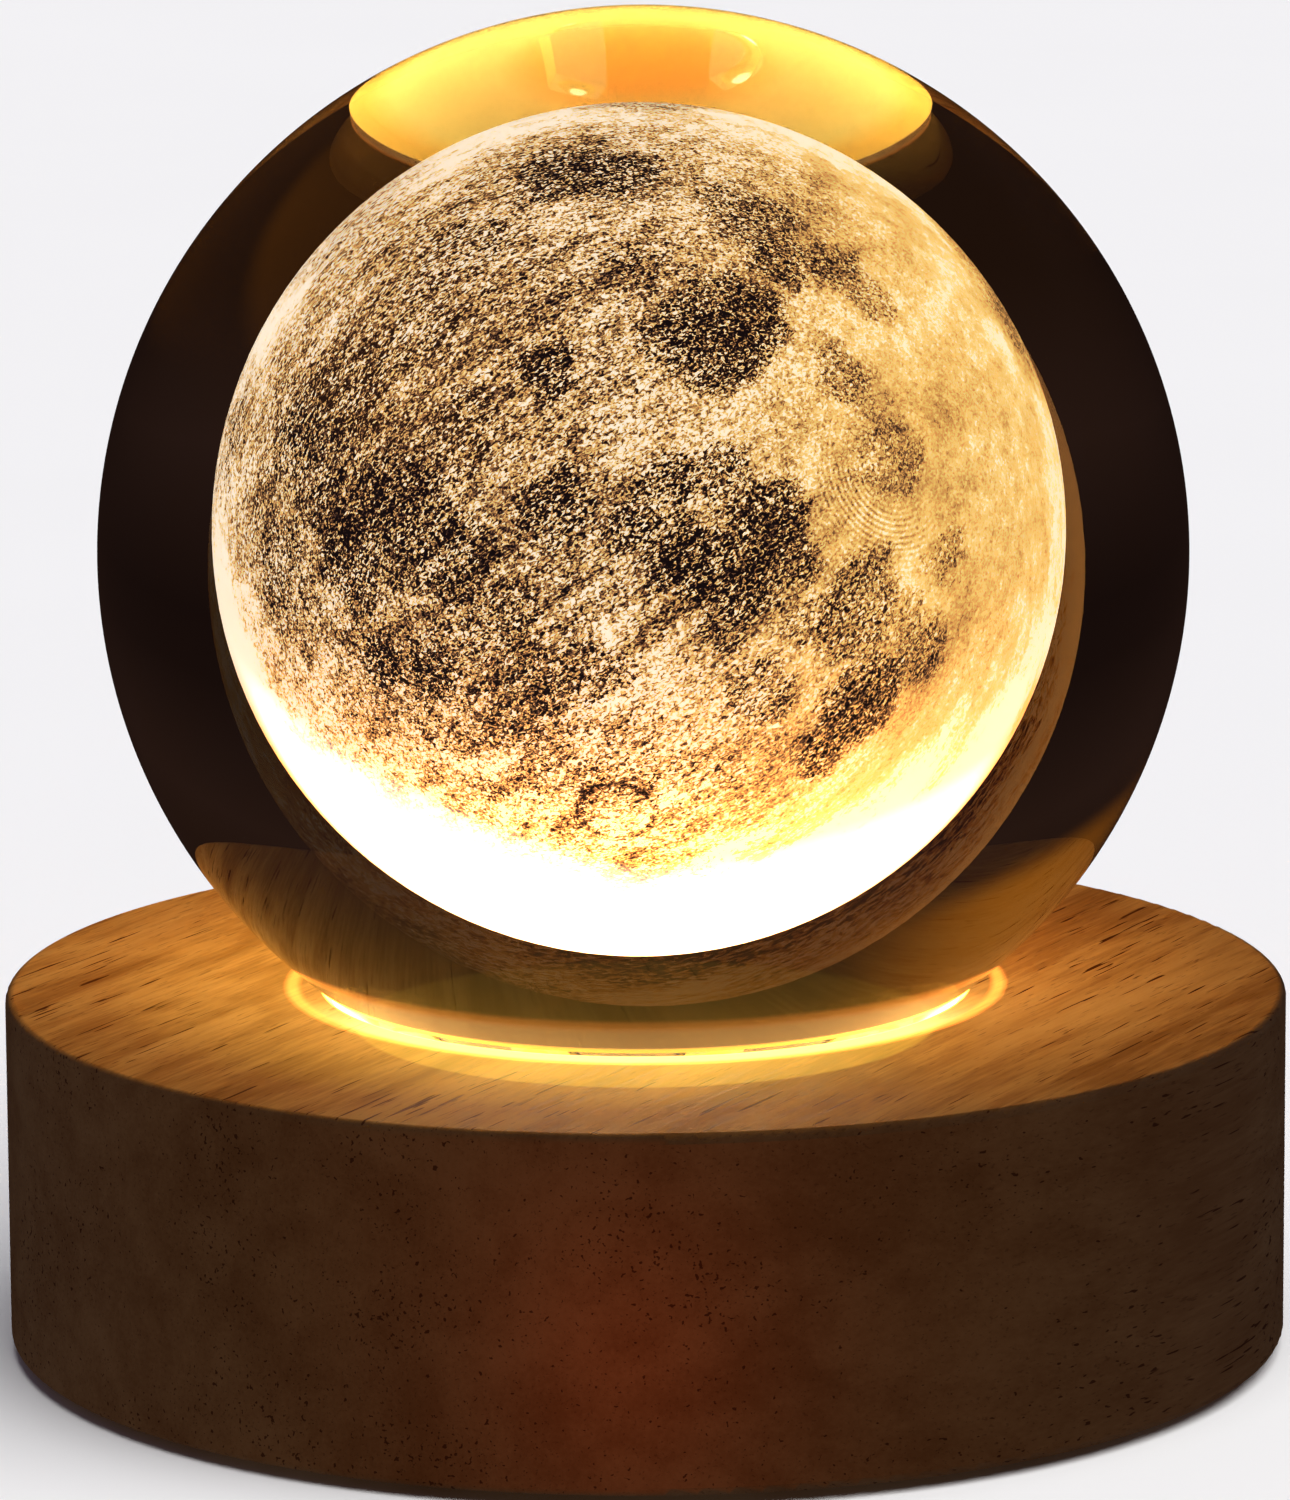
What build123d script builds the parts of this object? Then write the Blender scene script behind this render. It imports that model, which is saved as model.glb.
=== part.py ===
from build123d import *
from math import cos, radians, sin, sqrt, tan
import os

# Crystal ball lamp: a clear glass ball with a moon engraved inside it, standing over the light
# well of a turned wooden base. Millimetres, +Z up, +Y to the rear, where the power inlet is.
# The origin is on the ground, on the axis of the base.

# Ball
ball_diameter = 60.0
engraving_diameter = 30.3
engraving_rise = 0.6  # its centre above the centre of the ball
engraving_shift = -0.15  # and beside it
engraving_setback = 1.2  # and behind it

# Wooden base, as turned
base_diameter = 71.0
base_height = 19.5
base_edge_round = 0.5
well_diameter = 35.0  # bored from above; the ball stands on its broken edge
well_edge_break = 0.5
seat_gap = 0.25  # how far the ball stands clear of the edge, straight up
web_share = 0.65  # of the height that the pieces in the base leave over, for the web of wood
wire_bore_wall = 2.45  # wood between the wire bore and the pilot holes round it
cover_rim = 5.8  # wood left outside the cover's rebate
cover_step = 4.2  # from the rebate's wall in to the cavity's wall

# Underside cover and feet
cover_thickness = 1.6
cover_side_gap = 0.2
foot_diameter = 7.0
foot_thickness = 1.0
foot_standout = 0.6
foot_side_gap = 0.1
foot_edge_break = 0.2
foot_inset = 6.0  # from the cover's edge to a foot's centre
foot_count = 4
first_foot_angle = 45.0

# Light board in the well
board_ball_gap = 0.8  # from the board's top to the lowest point of the ball
led_board_thickness = 1.6
led_board_side_gap = 0.3
led_count = 8
first_led_angle = 17.5
led_from_wall = 3.5  # from the well's wall to an LED's centre
led_length = 3.5
led_width = 2.8
led_height = 1.9
led_side_taper = 3.0  # degrees
led_cup_diameter = 2.4
led_cup_depth = 0.4
led_cup_taper = 30.0  # degrees
resistor_count = 2
first_resistor_angle = 150.0
resistor_circle_share = 0.58  # of the screws' circle
resistor_angle_step = 120.0
resistor_length = 3.2
resistor_width = 1.6
resistor_height = 0.55
resistor_end_length = 0.5
resistor_end_coat = 0.04

# Screws: pan heads on the boards, countersunk heads in the cover
screw_hole_gap = 0.05
pan_head_diameter = 3.8
pan_head_height = 1.2
pan_head_edge = 0.4
pan_screw_diameter = 2.0
board_screw_tip_wood = 0.4  # web left above the cavity by the screw's tip
screws_from_leds = 4.5  # from the LEDs' circle in to the screws' circle
board_screw_count = 3
first_board_screw_angle = 90.0
rear_screw_tip_wood = 0.6  # web left below the well by the screw's tip
rear_screw_from_side = 2.0
rear_screw_from_edge = 2.5
flat_head_diameter = 3.8
flat_head_height = 1.1
cover_screw_diameter = 2.2
cover_screw_length = 7.5  # head included
cover_screw_count = 3
first_cover_screw_angle = 30.0

# Rear board under the cavity's ceiling, and the slot milled for it
rear_board_width = 20.0
rear_board_length = 14.0
rear_board_thickness = 1.0
rear_board_side_gap = 0.3
pocket_head_room = 0.8  # below the switch
plate_side_lap = 1.7  # how far the plate reaches past the pocket at each end
plate_edge_lap = 1.1  # and above and below it
plate_thickness = 1.6
plate_corner = 1.5
plate_side_gap = 0.1
plate_setback = 0.3  # behind the wood at the plate's two ends
plate_opening_gap = 0.15

# Power inlet, a USB-C socket
inlet_offset = -4.8
shell_width = 8.94
shell_height = 3.26
shell_wall = 0.3
shell_length = 7.3
insulator_gap = 0.03
insulator_block_length = 1.8
tongue_width = 6.69
tongue_thickness = 0.6
tongue_setback = 0.9  # behind the mouth
contact_count = 12
contact_pitch = 0.5
contact_width = 0.25
contact_length = 3.4
contact_thickness = 0.06
contact_setback = 0.4  # behind the tongue's tip

# Push switch
switch_offset = 5.5
switch_width = 7.0
switch_length = 6.6
switch_height = 4.0
switch_setback = 1.0  # front of the housing behind the plate
switch_side_wall = 1.1
switch_top_wall = 0.5
switch_front_wall = 1.0
switch_rear_wall = 0.8
switch_travel = 1.5
switch_stop_gap = 0.3
plunger_width = 2.4
plunger_gap = 0.15
flange_thickness = 0.8
pilot_diameter = 1.3
pilot_length = 1.5
spring_diameter = 2.4  # outside
spring_wire_diameter = 0.25
spring_turns = 4.0
spring_end_gap = 0.05
cap_diameter = 5.0
cap_hole_gap = 0.3
cap_round = 0.6
cap_socket_depth = 1.6
cap_socket_gap = 0.03
cap_crown_inset = 0.1  # from the rearmost line of the base

# Leads
wire_diameter = 1.1
wire_pad_gap = 0.05
wire_bend_share = 0.45  # of the shorter run beside a bend that its arc may use up

cut_overrun = 1.0

# Levels, from the ground up to the ball
ball_radius = ball_diameter / 2
base_radius = base_diameter / 2
well_radius = well_diameter / 2
seat_radius = well_radius + well_edge_break
wood_bottom = foot_standout
wood_top = wood_bottom + base_height
cover_top = wood_bottom + cover_thickness
ball_centre = wood_top + sqrt(ball_radius**2 - seat_radius**2) + seat_gap
engraving_centre = (engraving_shift, engraving_setback, ball_centre + engraving_rise)
led_board_top = ball_centre - ball_radius - board_ball_gap
ledge_level = led_board_top - led_board_thickness
spare_height = ledge_level - cover_top - rear_board_thickness - switch_height
web_thickness = web_share * spare_height
ceiling_level = ledge_level - web_thickness
rear_board_bottom = ceiling_level - rear_board_thickness
board_screw_length = led_board_thickness + web_thickness - board_screw_tip_wood
rear_screw_length = rear_board_thickness + web_thickness - rear_screw_tip_wood

# Circles about the axis, from the well's wall in and from the base's side in
led_circle_radius = well_radius - led_from_wall
board_screw_circle_radius = led_circle_radius - screws_from_leds
resistor_circle_radius = resistor_circle_share * board_screw_circle_radius
pan_hole_radius = pan_screw_diameter / 2 + screw_hole_gap
wire_bore_radius = board_screw_circle_radius - pan_hole_radius - wire_bore_wall
rebate_radius = base_radius - cover_rim
cavity_radius = rebate_radius - cover_step
cover_radius = rebate_radius - cover_side_gap
cover_screw_circle_radius = (cavity_radius + cover_radius) / 2
cover_hole_radius = cover_screw_diameter / 2 + screw_hole_gap
foot_circle_radius = cover_radius - foot_inset

# The slot at the rear holds its inset plate and is as deep as the curved wood allows
pocket_width = rear_board_width + 2 * rear_board_side_gap
pocket_height = rear_board_thickness + switch_height + pocket_head_room
plate_width = pocket_width + 2 * plate_side_lap
plate_height = pocket_height + 2 * plate_edge_lap
slot_width = plate_width + 2 * plate_side_gap
slot_height = plate_height + 2 * plate_side_gap
slot_corner = plate_corner + plate_side_gap
slot_level = ceiling_level - pocket_height / 2
plate_front = sqrt(base_radius**2 - (slot_width / 2) ** 2) - plate_setback
plate_back = plate_front - plate_thickness
inlet_level = rear_board_bottom - shell_height / 2

# Stations of the switch along its axis, from the housing's rear wall out to the crown. The rear
# board ends level with the housing, so that the pressed cap stops short of both.
switch_level = rear_board_bottom - switch_height / 2
switch_front = plate_back - switch_setback
switch_back = switch_front - switch_length
rear_board_start = switch_front - rear_board_length
rear_screw_row = rear_board_start + rear_screw_from_edge
rear_screw_spacing = rear_board_width - 2 * rear_screw_from_side
chamber_width = switch_width - 2 * switch_side_wall
chamber_height = switch_height - 2 * switch_top_wall
chamber_front = switch_front - switch_front_wall
chamber_back = switch_back + switch_rear_wall
flange_front = chamber_front - plunger_gap
flange_back = flange_front - flange_thickness
cap_back = switch_front + switch_travel + switch_stop_gap
cap_crown = base_radius - cap_crown_inset
plunger_end = cap_back + cap_socket_depth - cap_socket_gap


def circle_point(radius, angle):
    """Place on a circle about the lamp's axis."""
    return (radius * cos(radians(angle)), radius * sin(radians(angle)))


def rearward_plane(offset, y, level):
    """Plane that faces the rear, at y, with its own X across and its own Y up."""
    return Plane(origin=(offset, y, level), x_dir=(-1, 0, 0), z_dir=(0, 1, 0))


def bend_radii(points):
    """Radius of the arc at each inner point of a lead, as large as its two runs allow."""
    radii = []
    for before, corner, after in zip(points, points[1:], points[2:]):
        run_in = Vector(*corner) - Vector(*before)
        run_out = Vector(*after) - Vector(*corner)
        shorter = min(run_in.length, run_out.length)
        half_turn = radians(run_in.get_angle(run_out)) / 2
        radii.append(wire_bend_share * shorter / tan(half_turn))
    return radii


os.makedirs("parts", exist_ok=True)

# Ball: the clear glass round the engraved zone
with BuildPart() as crystal_ball:
    with Locations((0, 0, ball_centre)):
        Sphere(ball_radius)
    with Locations(engraving_centre):
        Sphere(engraving_diameter / 2, mode=Mode.SUBTRACT)
crystal_ball.part.label = "crystal_ball"
export_step(crystal_ball.part, "parts/crystal_ball.step")

# Engraved moon: the ball of fine laser marks that fills the core of the glass
with BuildPart() as engraved_moon:
    with Locations(engraving_centre):
        Sphere(engraving_diameter / 2)
engraved_moon.part.label = "engraved_moon"
export_step(engraved_moon.part, "parts/engraved_moon.step")

# Wooden base: one turned profile, then the bores, and the slot milled at the rear
with BuildPart() as wooden_base:
    with BuildSketch(Plane.XZ) as turned_profile:
        with BuildLine() as turned_outline:
            Polyline(
                (wire_bore_radius, ceiling_level),
                (cavity_radius, ceiling_level),
                (cavity_radius, cover_top),
                (rebate_radius, cover_top),
                (rebate_radius, wood_bottom),
                (base_radius, wood_bottom),
                (base_radius, wood_top),
                (seat_radius, wood_top),
                (well_radius, wood_top - well_edge_break),
                (well_radius, ledge_level),
                (wire_bore_radius, ledge_level),
                close=True,
            )
        make_face()
        fillet(turned_profile.vertices().group_by(Axis.X)[-1], base_edge_round)
    revolve(axis=Axis.Z)
    # Wide slot for the inset plate, from outside
    with BuildSketch(rearward_plane(0, plate_back, slot_level)):
        RectangleRounded(slot_width, slot_height, slot_corner)
    extrude(amount=base_radius, mode=Mode.SUBTRACT)
    # Narrower pocket behind it, through to the cavity, with the cavity's own ceiling
    with BuildSketch(rearward_plane(0, rear_board_start, slot_level)):
        Rectangle(pocket_width, pocket_height)
    extrude(amount=plate_back - rear_board_start, mode=Mode.SUBTRACT)
    # Pilot holes: down from the ledge, up from the ceiling, up from the cover's rebate
    with BuildSketch(Plane.XY.offset(led_board_top - board_screw_length)):
        with PolarLocations(board_screw_circle_radius, board_screw_count, first_board_screw_angle):
            Circle(pan_hole_radius)
    extrude(amount=board_screw_length, mode=Mode.SUBTRACT)
    with BuildSketch(Plane.XY.offset(rear_board_bottom)):
        with Locations((0, rear_screw_row)):
            with GridLocations(rear_screw_spacing, 0, 2, 1):
                Circle(pan_hole_radius)
    extrude(amount=rear_screw_length, mode=Mode.SUBTRACT)
    with BuildSketch(Plane.XY.offset(wood_bottom)):
        with PolarLocations(cover_screw_circle_radius, cover_screw_count, first_cover_screw_angle):
            Circle(cover_hole_radius)
    extrude(amount=cover_screw_length, mode=Mode.SUBTRACT)
wooden_base.part.label = "wooden_base"
export_step(wooden_base.part, "parts/wooden_base.step")

# Round light board, screwed to the ledge
with BuildPart() as led_board:
    with BuildSketch(Plane.XY.offset(ledge_level)):
        Circle(well_radius - led_board_side_gap)
        with PolarLocations(board_screw_circle_radius, board_screw_count, first_board_screw_angle):
            Circle(pan_hole_radius, mode=Mode.SUBTRACT)
    extrude(amount=led_board_thickness)
led_board.part.label = "led_board"
export_step(led_board.part, "parts/led_board.step")

# Ring of LEDs: a tapered white package with a round cup in its top
for number in range(led_count):
    led_angle = first_led_angle + 360 * number / led_count
    led_plane = Plane(
        origin=(*circle_point(led_circle_radius, led_angle), led_board_top),
        x_dir=(-sin(radians(led_angle)), cos(radians(led_angle)), 0),
    )
    with BuildPart() as led:
        with BuildSketch(led_plane):
            Rectangle(led_length, led_width)
        extrude(amount=led_height, taper=led_side_taper)
        with BuildSketch(led_plane.offset(led_height)):
            Circle(led_cup_diameter / 2)
        extrude(amount=-led_cup_depth, taper=led_cup_taper, mode=Mode.SUBTRACT)
    led.part.label = f"led_{number + 1}"
    export_step(led.part, f"parts/led_{number + 1}.step")

# Chip resistors near the middle of the board, with wrapped end caps
for number in range(resistor_count):
    resistor_angle = first_resistor_angle + resistor_angle_step * number
    resistor_plane = Plane(
        origin=(*circle_point(resistor_circle_radius, resistor_angle), led_board_top),
        x_dir=(-sin(radians(resistor_angle)), cos(radians(resistor_angle)), 0),
    )
    with BuildPart() as resistor:
        with BuildSketch(resistor_plane):
            Rectangle(resistor_length, resistor_width - 2 * resistor_end_coat)
        extrude(amount=resistor_height - resistor_end_coat)
        with BuildSketch(resistor_plane):
            with GridLocations(resistor_length - resistor_end_length, 0, 2, 1):
                Rectangle(resistor_end_length, resistor_width)
        extrude(amount=resistor_height)
    resistor.part.label = f"resistor_{number + 1}"
    export_step(resistor.part, f"parts/resistor_{number + 1}.step")


def upright_plane(place):
    """Plane through a place in plan, facing the front, with its own Y up."""
    return Plane(origin=(place.X, place.Y, 0), x_dir=(1, 0, 0), z_dir=(0, -1, 0))


def pan_screw_outline(head_seat, length, way):
    """Half outline of a pan-head screw that points up, way 1, or down, way -1."""
    head_radius = pan_head_diameter / 2
    shank_radius = pan_screw_diameter / 2
    head_top = head_seat - way * pan_head_height
    return [
        (0, head_top),
        (head_radius - pan_head_edge, head_top),
        (head_radius, head_top + way * pan_head_edge),
        (head_radius, head_seat),
        (shank_radius, head_seat),
        (shank_radius, head_seat + way * (length - shank_radius)),
        (0, head_seat + way * length),
    ]


# Screws of the light board, head up on the board
with BuildPart() as board_screws:
    for place in PolarLocations(board_screw_circle_radius, board_screw_count, first_board_screw_angle):
        with BuildSketch(upright_plane(place.position)):
            with BuildLine():
                Polyline(*pan_screw_outline(led_board_top, board_screw_length, -1), close=True)
            make_face()
        revolve(axis=Axis((place.position.X, place.position.Y, 0), (0, 0, 1)))
board_screws.part.label = "board_screws"
export_step(board_screws.part, "parts/board_screws.step")

# Rear board, flat under the cavity's ceiling, its parts hanging below it
with BuildPart() as rear_board:
    with BuildSketch(Plane.XY.offset(rear_board_bottom)):
        with Locations((0, (rear_board_start + switch_front) / 2)):
            Rectangle(rear_board_width, rear_board_length)
        with Locations((0, rear_screw_row)):
            with GridLocations(rear_screw_spacing, 0, 2, 1):
                Circle(pan_hole_radius, mode=Mode.SUBTRACT)
    extrude(amount=rear_board_thickness)
rear_board.part.label = "rear_board"
export_step(rear_board.part, "parts/rear_board.step")

# Screws of the rear board, driven up into the web
with BuildPart() as rear_board_screws:
    for side in (-1, 1):
        place = Vector(side * rear_screw_spacing / 2, rear_screw_row)
        with BuildSketch(upright_plane(place)):
            with BuildLine():
                Polyline(*pan_screw_outline(rear_board_bottom, rear_screw_length, 1), close=True)
            make_face()
        revolve(axis=Axis((place.X, place.Y, 0), (0, 0, 1)))
rear_board_screws.part.label = "rear_board_screws"
export_step(rear_board_screws.part, "parts/rear_board_screws.step")

# Inset plate in the slot, with the inlet's opening and the button's hole
with BuildPart() as rear_plate:
    with BuildSketch(rearward_plane(0, plate_back, slot_level)):
        RectangleRounded(plate_width, plate_height, plate_corner)
        with Locations((-inlet_offset, inlet_level - slot_level)):
            SlotOverall(
                shell_width + 2 * plate_opening_gap,
                shell_height + 2 * plate_opening_gap,
                mode=Mode.SUBTRACT,
            )
        with Locations((-switch_offset, switch_level - slot_level)):
            Circle(cap_diameter / 2 + cap_hole_gap, mode=Mode.SUBTRACT)
    extrude(amount=plate_thickness)
rear_plate.part.label = "rear_plate"
export_step(rear_plate.part, "parts/rear_plate.step")

# Steel shell of the inlet, level with the plate's face
with BuildPart() as usb_shell:
    with BuildSketch(rearward_plane(inlet_offset, plate_front - shell_length, inlet_level)):
        SlotOverall(shell_width, shell_height)
        SlotOverall(shell_width - 2 * shell_wall, shell_height - 2 * shell_wall, mode=Mode.SUBTRACT)
    extrude(amount=shell_length)
usb_shell.part.label = "usb_shell"
export_step(usb_shell.part, "parts/usb_shell.step")

# Moulded insulator: a block that closes the shell's rear, and the tongue
with BuildPart() as usb_insulator:
    with BuildSketch(rearward_plane(inlet_offset, plate_front - shell_length, inlet_level)):
        SlotOverall(
            shell_width - 2 * (shell_wall + insulator_gap),
            shell_height - 2 * (shell_wall + insulator_gap),
        )
    extrude(amount=insulator_block_length)
    with BuildSketch(rearward_plane(inlet_offset, plate_front - shell_length, inlet_level)):
        Rectangle(tongue_width, tongue_thickness)
    extrude(amount=shell_length - tongue_setback)
usb_insulator.part.label = "usb_insulator"
export_step(usb_insulator.part, "parts/usb_insulator.step")

# Contacts: a row of thin strips on each face of the tongue
with BuildPart() as usb_contacts:
    contact_front = plate_front - tongue_setback - contact_setback
    with BuildSketch(rearward_plane(inlet_offset, contact_front - contact_length, inlet_level)):
        for side in (-1, 1):
            with Locations((0, side * (tongue_thickness + contact_thickness) / 2)):
                with GridLocations(contact_pitch, 0, contact_count, 1):
                    Rectangle(contact_width, contact_thickness)
    extrude(amount=contact_length)
usb_contacts.part.label = "usb_contacts"
export_step(usb_contacts.part, "parts/usb_contacts.step")

# Switch housing: a box with a chamber for the plunger and its spring
with BuildPart() as switch_housing:
    with BuildSketch(rearward_plane(switch_offset, switch_back, switch_level)):
        Rectangle(switch_width, switch_height)
    extrude(amount=switch_length)
    with BuildSketch(rearward_plane(switch_offset, chamber_back, switch_level)):
        Rectangle(chamber_width, chamber_height)
    extrude(amount=chamber_front - chamber_back, mode=Mode.SUBTRACT)
    with BuildSketch(rearward_plane(switch_offset, chamber_front, switch_level)):
        Rectangle(plunger_width + 2 * plunger_gap, plunger_width + 2 * plunger_gap)
    extrude(amount=switch_front_wall + cut_overrun, mode=Mode.SUBTRACT)
switch_housing.part.label = "switch_housing"
export_step(switch_housing.part, "parts/switch_housing.step")

# Plunger: a square stem, the flange that keeps it in, and the pilot that centres the spring
with BuildPart() as switch_plunger:
    with BuildSketch(rearward_plane(switch_offset, flange_front, switch_level)):
        Rectangle(plunger_width, plunger_width)
    extrude(amount=plunger_end - flange_front)
    with BuildSketch(rearward_plane(switch_offset, flange_back, switch_level)):
        Rectangle(chamber_width - 2 * plunger_gap, chamber_height - 2 * plunger_gap)
    extrude(amount=flange_thickness)
    with BuildSketch(rearward_plane(switch_offset, flange_back - pilot_length, switch_level)):
        Circle(pilot_diameter / 2)
    extrude(amount=pilot_length)
switch_plunger.part.label = "switch_plunger"
export_step(switch_plunger.part, "parts/switch_plunger.step")

# Return spring round the pilot, from the rear wall to the flange
with BuildPart() as switch_spring:
    spring_room = flange_back - chamber_back - 2 * spring_end_gap - spring_wire_diameter
    spring_radius = (spring_diameter - spring_wire_diameter) / 2
    spring_start = chamber_back + spring_end_gap + spring_wire_diameter / 2
    with BuildLine() as spring_coil:
        Helix(
            pitch=spring_room / spring_turns,
            height=spring_room,
            radius=spring_radius,
            center=(switch_offset, spring_start, switch_level),
            direction=(0, 1, 0),
        )
    with BuildSketch(Plane(origin=spring_coil.line @ 0, z_dir=spring_coil.line % 0)):
        Circle(spring_wire_diameter / 2)
    sweep(is_frenet=True)
switch_spring.part.label = "switch_spring"
export_step(switch_spring.part, "parts/switch_spring.step")

# Button cap, pressed on the stem, with a rounded crown
with BuildPart() as button_cap:
    with BuildSketch(rearward_plane(switch_offset, cap_back, switch_level)):
        Circle(cap_diameter / 2)
    extrude(amount=cap_crown - cap_back)
    fillet(button_cap.edges().group_by(Axis.Y)[-1], cap_round)
    with BuildSketch(rearward_plane(switch_offset, cap_back, switch_level)):
        Rectangle(plunger_width + 2 * cap_socket_gap, plunger_width + 2 * cap_socket_gap)
    extrude(amount=cap_socket_depth, mode=Mode.SUBTRACT)
button_cap.part.label = "button_cap"
export_step(button_cap.part, "parts/button_cap.step")

# Leads from the rear board's underside, down through the cavity and up the wire bore: along the
# pad, through the loose slack, and square up to the light board. The points are shares of the
# bore's radius across, of the way from the axis to the pad, and of the cavity's height.
pad_level = rear_board_bottom - wire_pad_gap - wire_diameter / 2
slack_shares = {
    "wire_red": [(0.42, 0.51, 0.53), (0.33, 0.25, 0.51)],
    "wire_black": [(-0.37, 0.53, 0.41), (-0.43, 0.28, 0.47)],
}
rise_shares = {"wire_red": (0.28, 0.38, 0.87), "wire_black": (-0.28, 0.47, 0.86)}
pad_shares = {"wire_red": (0.27, 0.79), "wire_black": (-0.27, 0.78)}
for wire_name, slack in slack_shares.items():
    pad_side, pad_reach = pad_shares[wire_name]
    rise_side, rise_reach, rise_start = rise_shares[wire_name]
    rise_place = (rise_side * wire_bore_radius, rise_reach * wire_bore_radius)
    cavity_height = ceiling_level - cover_top
    wire_points = [
        (pad_side * wire_bore_radius, rear_screw_row, pad_level),
        (pad_side * wire_bore_radius, pad_reach * rear_screw_row, pad_level),
    ]
    for across, reach, height in slack:
        wire_points.append(
            (across * wire_bore_radius, reach * rear_screw_row, cover_top + height * cavity_height)
        )
    wire_points.append((*rise_place, cover_top + rise_start * cavity_height))
    wire_points.append((*rise_place, ledge_level))
    wire_radii = bend_radii(wire_points)
    with BuildPart() as wire:
        with BuildLine() as wire_path:
            FilletPolyline(*wire_points, radius=wire_radii)
        with BuildSketch(Plane(origin=wire_path.line @ 0, z_dir=wire_path.line % 0)):
            Circle(wire_diameter / 2)
        sweep()
    wire.part.label = wire_name
    export_step(wire.part, f"parts/{wire_name}.step")

# Underside cover in its rebate, with countersinks and shallow sockets for the feet
with BuildPart() as base_cover:
    with BuildSketch(Plane.XY.offset(wood_bottom)):
        Circle(cover_radius)
    extrude(amount=cover_thickness)
    with BuildSketch(Plane.XY.offset(wood_bottom)):
        with PolarLocations(foot_circle_radius, foot_count, first_foot_angle):
            Circle(foot_diameter / 2 + foot_side_gap)
    extrude(amount=foot_thickness - foot_standout, mode=Mode.SUBTRACT)
    with BuildSketch(Plane.XY.offset(wood_bottom)):
        with PolarLocations(cover_screw_circle_radius, cover_screw_count, first_cover_screw_angle):
            Circle(cover_hole_radius)
    extrude(amount=cover_thickness, mode=Mode.SUBTRACT)
    with PolarLocations(cover_screw_circle_radius, cover_screw_count, first_cover_screw_angle):
        with Locations((0, 0, wood_bottom)):
            Cone(
                flat_head_diameter / 2 + screw_hole_gap,
                cover_hole_radius,
                flat_head_height,
                align=(Align.CENTER, Align.CENTER, Align.MIN),
                mode=Mode.SUBTRACT,
            )
base_cover.part.label = "base_cover"
export_step(base_cover.part, "parts/base_cover.step")

# Countersunk screws of the cover
with BuildPart() as cover_screws:
    for place in PolarLocations(cover_screw_circle_radius, cover_screw_count, first_cover_screw_angle):
        with BuildSketch(upright_plane(place.position)):
            with BuildLine():
                Polyline(
                    (0, wood_bottom),
                    (flat_head_diameter / 2, wood_bottom),
                    (cover_screw_diameter / 2, wood_bottom + flat_head_height),
                    (cover_screw_diameter / 2, wood_bottom + cover_screw_length - cover_screw_diameter),
                    (0, wood_bottom + cover_screw_length),
                    close=True,
                )
            make_face()
        revolve(axis=Axis((place.position.X, place.position.Y, 0), (0, 0, 1)))
cover_screws.part.label = "cover_screws"
export_step(cover_screws.part, "parts/cover_screws.step")

# Four thin rubber feet, glued in the cover's sockets
for number in range(foot_count):
    foot_place = circle_point(foot_circle_radius, first_foot_angle + 360 * number / foot_count)
    with BuildPart() as foot:
        with BuildSketch(Plane.XY):
            with Locations(foot_place):
                Circle(foot_diameter / 2)
        extrude(amount=foot_thickness)
        chamfer(foot.edges().group_by(Axis.Z)[0], foot_edge_break)
    foot.part.label = f"foot_{number + 1}"
    export_step(foot.part, f"parts/foot_{number + 1}.step")
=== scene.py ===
from math import cos, pi, radians, sin

import bmesh
import bpy
from mathutils import Euler, Matrix, Vector


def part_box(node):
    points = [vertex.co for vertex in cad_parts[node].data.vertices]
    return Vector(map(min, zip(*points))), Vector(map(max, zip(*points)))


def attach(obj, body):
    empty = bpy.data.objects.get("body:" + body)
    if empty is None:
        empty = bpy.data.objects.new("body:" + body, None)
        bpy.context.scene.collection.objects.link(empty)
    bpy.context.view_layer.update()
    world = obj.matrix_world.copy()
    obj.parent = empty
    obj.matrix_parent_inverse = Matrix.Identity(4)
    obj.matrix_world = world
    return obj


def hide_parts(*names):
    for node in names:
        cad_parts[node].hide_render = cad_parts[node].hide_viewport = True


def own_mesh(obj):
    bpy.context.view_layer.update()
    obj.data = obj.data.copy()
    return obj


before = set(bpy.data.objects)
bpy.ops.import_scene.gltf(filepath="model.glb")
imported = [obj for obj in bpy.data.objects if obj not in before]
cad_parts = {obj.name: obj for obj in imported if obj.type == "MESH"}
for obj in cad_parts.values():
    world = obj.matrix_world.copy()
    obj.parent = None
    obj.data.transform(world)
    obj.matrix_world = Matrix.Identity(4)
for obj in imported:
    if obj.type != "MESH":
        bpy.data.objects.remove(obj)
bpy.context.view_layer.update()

MM = 0.001

# Camera, fitted to the outlines of ball and base in the photograph
PHOTO_WIDTH = 1290
FOCAL_PIXELS = 9236.2
CAMERA_PLACE = (0.04 * MM, -500 * MM, 135.56 * MM)
CAMERA_PITCH = 0.20191
CAMERA_ROLL = -0.00555
SENSOR_WIDTH = 36.0

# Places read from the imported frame
ball_low, ball_high = (Vector(corner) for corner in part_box("crystal_ball"))
moon_low, moon_high = (Vector(corner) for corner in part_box("engraved_moon"))
ball_centre = (ball_low + ball_high) / 2
ball_radius = (ball_high.z - ball_low.z) / 2
moon_centre = (moon_low + moon_high) / 2
moon_radius = (moon_high.z - moon_low.z) / 2
wood_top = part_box("wooden_base")[1][2]
board_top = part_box("led_board")[1][2]

# The wood: its grain in degrees, and in millimetres the well and the light that leaks out of it
GRAIN_ANGLE = 62
WELL_RADIUS = 17.5
RING_RADIUS = 19.6
CRESCENT_OFFSET = 9.1
CRESCENT_RADIUS = 16.0
HALO_WIDTH = 11

# How strongly the well's wall and the housings of the LEDs glow
WALL_GLOW = 10.5
HOUSING_GLOW = 11.0

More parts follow.
